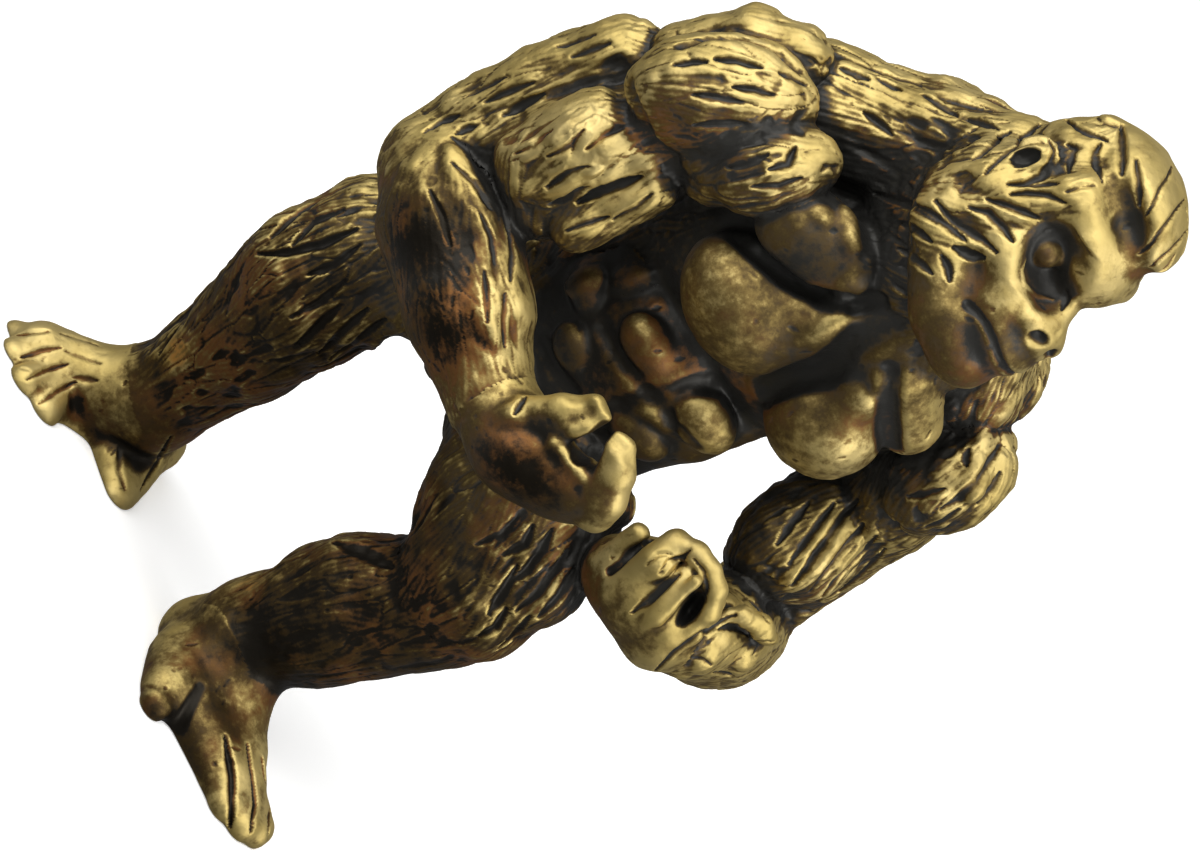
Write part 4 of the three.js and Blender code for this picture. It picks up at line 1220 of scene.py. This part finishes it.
# painted light: painted shade where the amount is positive, painted highlights where it is negative, with some darker
# finish and rubbed spots: place, reach, amount
PAINTED_LIGHT_AND_WEAR = [
    # painted shade on belly, flanks, collar and neck
    ((-40, 40), 120, 0.24), ((-115, 70), 80, 0.20), ((-14, 274), 36, 0.40), ((-46, 282), 34, 0.26), ((-50, 214), 42, 0.30), ((-34, 412), 40, 0.34), ((-42, 448), 32, 0.32),
    ((-8, 362), 50, 0.40), ((-70, 360), 30, 0.34), ((60, 330), 60, 0.35), ((0, 190), 70, 0.20), ((115, 215), 60, 0.16),
    # painted shade under the chin and lips, in the hollow under the crest and in the eye socket
    ((125, 338), 58, 0.34), ((172, 345), 46, 0.32), ((78, 350), 40, 0.26), ((15, 374), 40, 0.28), ((150, 386), 22, 0.22), ((178, 381), 18, 0.22), ((124, 383), 15, 0.20),
    ((110, 556), 36, 0.26), ((150, 547), 30, 0.24), ((90, 440), 20, 0.12), ((104, 418), 14, 0.12), ((138, 452), 17, 0.50), ((92, 472), 18, 0.30),
    # arms: painted shade on the undersides of forearm and deltoid and along the deltoid groove, painted highlights on
    # the biceps and upper arms
    ((165, 110), 40, 0.42), ((190, 70), 32, 0.30), ((228, 132), 24, -0.34), ((250, 126), 30, -0.40), ((228, 205), 34, 0.38), ((272, 216), 32, 0.42), ((262, 322), 24, -0.20), ((-255, -28), 48, 0.66), ((-165, -70), 50, 0.68), ((-210, -25), 36, 0.28), ((-285, 34), 26, -0.14), ((-208, 250), 60, 0.50), ((-132, 258), 52, 0.46), ((-179, 100), 36, 0.22),
    ((-141, 332), 13, 0.50), ((-147, 314), 13, 0.50), ((-154, 294), 13, 0.45), ((-163, 272), 15, 0.40),
    ((-245, 145), 60, -0.50), ((-175, 145), 45, -0.38), ((-310, 170), 60, -0.14),
    # hands: painted shade on the lower sides of the fists, painted highlights on their tops
    ((20, -85), 55, 0.68), ((-40, -100), 50, 0.66), ((-30, -38), 13, 0.25), ((-14, 0), 14, -0.30), ((170, -95), 45, 0.26), ((165, -12), 66, -0.58), ((268, 10), 45, -0.20),
    ((172, -45), 14, 0.16),
    # legs and feet: painted shade, painted highlights on ankle and instep, and lighter spots over the redder metal
    ((-260, -80), 90, 0.42), ((-300, -130), 80, 0.38), ((60, -120), 90, 0.18), ((-270, -250), 110, 0.12), ((10, -320), 130, 0.36), ((-58, -288), 28, 0.36),
    ((-30, -272), 22, 0.40), ((-40, -480), 80, 0.54), ((60, -505), 80, 0.62), ((140, -500), 40, 0.20), ((20, -448), 26, -0.48), ((80, -474), 28, -0.34), ((-18, -524), 19, 0.62), ((-62, -470), 30, -0.20), ((-209, -436), 14, 0.34), ((-40, 87), 38, 0.14), ((-30, -500), 20, -0.26),
    ((-298, -308), 24, -0.56), ((-62, -380), 24, -0.34), ((68, -348), 24, -0.32), ((-30, -188), 26, -0.26),
    ((-245, -400), 40, 0.20), ((-345, -392), 45, -0.06), ((-370, -435), 40, 0.18), ((-330, -445), 40, 0.18), ((-215, -425), 24, 0.16),
    # painted highlights on the lit tops of crest, brow, nose and muzzle
    ((120, 592), 60, -0.12), ((40, 570), 50, -0.12), ((150, 512), 40, -0.26), ((120, 425), 40, -0.22), ((185, 425), 25, -0.20),
]
# places where the finish is redder: place, reach, amount
RUST = [
    ((-268, -300), 90, 0.8), ((-298, -308), 30, 1.4), ((-265, -345), 40, 0.6), ((-270, -150), 80, 0.5), ((10, -320), 110, 0.55), ((-62, -380), 34, 1.3), ((68, -348), 36, 1.3), ((-30, -188), 32, 1.2), ((60, -170), 90, 0.5), ((-20, 40), 110, 0.45),
    ((0, -90), 75, 0.68), ((-255, -28), 80, 0.62), ((-165, -70), 80, 0.66), ((130, -90), 50, 0.5), ((-40, -480), 90, 0.6), ((60, -505), 80, 0.5),
]
# painted shadow: black in the holes of the fists, where the palms lie in shade: place, reach
SHADOW_WELLS = [(P(16, -28, 178), 36), (P(15, -34, 236), 17), (P(206, -30, 96), 22)]
painted_light_and_wear = np.zeros(len(PTS))
# darker towards the bottom: painted shade on the pelvis and legs
for n in ("pelvis", "right_thigh", "right_shin", "left_thigh", "left_shin"):
    own = OWNER == PIECES.index(n) + 1
    painted_light_and_wear[own] = 0.25 * (1 - soft(PTS[own, 2], 440, 620))
# set the painted shade and painted highlights of the table onto the surface
for c, (_, r, v) in zip(onto([t_[0] for t_ in PAINTED_LIGHT_AND_WEAR]), PAINTED_LIGHT_AND_WEAR):
    if not np.isnan(c[0]):
        painted_light_and_wear += v * np.exp(-((PTS - c) ** 2).sum(1) / (r * r))
rust = np.zeros(len(PTS))
for c, (_, r, v) in zip(onto([t_[0] for t_ in RUST]), RUST):
    if not np.isnan(c[0]):
        rust = np.maximum(rust, v * np.exp(-((PTS - c) ** 2).sum(1) / (r * r)))
rust = np.maximum(rust, 0.55 * (1 - soft(PTS[:, 2], 330, 470)))
# the patina value: patina in grooves and small hollows, plus painted shade from occlusion, wide hollows, crowding,
# undersides and the table of painted light
PATINA_AND_SHADE = 0.40 * GROOVE + 0.7 * np.clip(CAV, -0.6, 1) + 0.6 * np.clip(DIP, -0.45, 1) + 0.75 * soft(OCC, 0.14, 0.62)
PATINA_AND_SHADE += 2.0 * (CROWD - 0.20) + 0.44 * UNDERSIDE_SHADE + painted_light_and_wear + 0.02
# eyeballs held at a mid dark: painted shade from the brow above them
for e_ in (-43, 43):
    ball = np.exp(-((PTS - H(e_, 80, 5)) ** 2).sum(1) / 18.0 ** 2)
    PATINA_AND_SHADE += (0.52 - PATINA_AND_SHADE) * soft(ball, 0.25, 0.6)
# paint the shadow into the holes of the fists
for c, r in SHADOW_WELLS:
    PATINA_AND_SHADE += 1.1 * np.exp(-((PTS - c) ** 2).sum(1) / (r * r))
PATINA_AND_SHADE = np.clip(PATINA_AND_SHADE, -0.04, 1.3)
PATINA_AND_SHADE[~SKIN] = 1.0

WORLD = (SHAPE * K + np.array(SHIFT)) / 1000.0


def build(i, name):
    a = QA == i + 1
    b = QB == i + 1
    q = np.concatenate([QUADS[a], QUADS[b][:, ::-1]])
    if FLIP:
        q = q[:, ::-1]
    used = np.unique(q)
    back = np.full(len(PTS), -1, np.int64)
    back[used] = np.arange(len(used))
    me = bpy.data.meshes.new(name + "_look")
    me.vertices.add(len(used))
    me.vertices.foreach_set("co", WORLD[used].astype(np.float32).ravel())
    me.loops.add(len(q) * 4)
    me.loops.foreach_set("vertex_index", back[q].astype(np.int32).ravel())
    me.polygons.add(len(q))
    me.polygons.foreach_set("loop_start", np.arange(0, len(q) * 4, 4, dtype=np.int32))
    me.polygons.foreach_set("use_smooth", np.ones(len(q), bool))
    me.update(calc_edges=True)
    me.validate()
    # the patina value, with its painted shade, for the material
    at = me.attributes.new("patina_and_shade", "FLOAT", "POINT")
    at.data.foreach_set("value", PATINA_AND_SHADE[used].astype(np.float32))
    at = me.attributes.new("rust", "FLOAT", "POINT")
    at.data.foreach_set("value", rust[used].astype(np.float32))
    ob = bpy.data.objects.new(name + "_look", me)
    bpy.context.scene.collection.objects.link(ob)
    nn = np.where(SKIN[used][:, None], VN[used], 0.0)
    me.normals_split_custom_set_from_vertices(nn.astype(np.float32).tolist())
    s = "skin_brass" if name in SKIN_PIECES else "fur_brass"
    me.materials.append(MATS[s])
    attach(ob, "root")
    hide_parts(name)
    return ob


for i, name in enumerate(PIECES):
    build(i, name)

# ---------------------------------------------------------------- stage, light, camera
sc = bpy.context.scene


def plain(name, col, rough):
    m = bpy.data.materials.new(name)
    m.use_nodes = True
    b = m.node_tree.nodes["Principled BSDF"]
    b.inputs["Base Color"].default_value = (*col, 1)
    b.inputs["Roughness"].default_value = rough
    return m


AIM = (P(0, 0, 0) * K + np.array(SHIFT)) / 1000.0
side = np.array([-VW[0], -VW[1], 0.0])
side /= np.linalg.norm(side)
right = np.array([side[1], -side[0], 0.0])
me = bpy.data.meshes.new("floor")
ring = [(1.6 * math.cos(2 * math.pi * i / 96), 1.6 * math.sin(2 * math.pi * i / 96), -0.00002) for i in range(96)]
me.from_pydata(ring, [], [tuple(range(96))])
pale = plain("pale floor", (0.90, 0.90, 0.89), 0.9)
pale.node_tree.nodes["Principled BSDF"].inputs["Emission Color"].default_value = (1, 1, 1, 1)
pale.node_tree.nodes["Principled BSDF"].inputs["Emission Strength"].default_value = 0.34
me.materials.append(pale)
floor = bpy.data.objects.new("floor", me)
sc.collection.objects.link(floor)
floor.visible_glossy = False

world = sc.world or bpy.data.worlds.new("studio")
sc.world = world
world.use_nodes = True
wt = world.node_tree
bg = wt.nodes.get("Background")
bg.inputs[1].default_value = 1.0
lp = wt.nodes.new("ShaderNodeLightPath")
wm = wt.nodes.new("ShaderNodeMix")
wm.data_type = "RGBA"
wt.links.new(lp.outputs["Is Camera Ray"], wm.inputs[0])
wm.inputs[6].default_value = (0.160, 0.160, 0.165, 1)
wm.inputs[7].default_value = (0.95, 0.95, 0.95, 1)
wt.links.new(wm.outputs[2], bg.inputs[0])


def softbox(name, at, size, power):
    li = bpy.data.lights.new(name, "AREA")
    li.shape = "RECTANGLE"
    li.size, li.size_y = size
    li.energy = power
    ob = bpy.data.objects.new(name, li)
    sc.collection.objects.link(ob)
    ob.location = Vector(AIM) + Vector(at)
    ob.rotation_mode = "QUATERNION"
    ob.rotation_quaternion = (-Vector(at)).to_track_quat("-Z", "Y")


def around(r, f, z):
    """right of the view, towards the viewer, up"""
    return tuple(right * r - side * f + np.array([0, 0, z]))


softbox("key, above left", around(-0.24, 0.19, 0.32), (0.60, 0.60), 3.3)
softbox("second, above right", around(0.20, 0.10, 0.35), (0.50, 0.50), 1.7)
softbox("low right", around(0.36, 0.14, 0.05), (0.12, 0.22), 0.75)
sc.view_settings.view_transform = "Standard"
sc.view_settings.look = "None"

cam = bpy.data.objects.new("camera", bpy.data.cameras.new("camera"))
sc.collection.objects.link(cam)
sc.camera = cam
cam.data.sensor_width = 36.0
cam.data.lens = 36.0 * DIST / 1200.0
cam.data.clip_start = 0.01
cam.data.clip_end = 20.0
cam.location = Vector(AIM) + Vector(VW) * (DIST * K / 1000.0)
rot = (-Vector(VW)).to_track_quat("-Z", "Y").to_matrix() @ Matrix.Rotation(ROLL, 3, "Z")
cam.rotation_mode = "QUATERNION"
cam.rotation_quaternion = rot.to_quaternion()
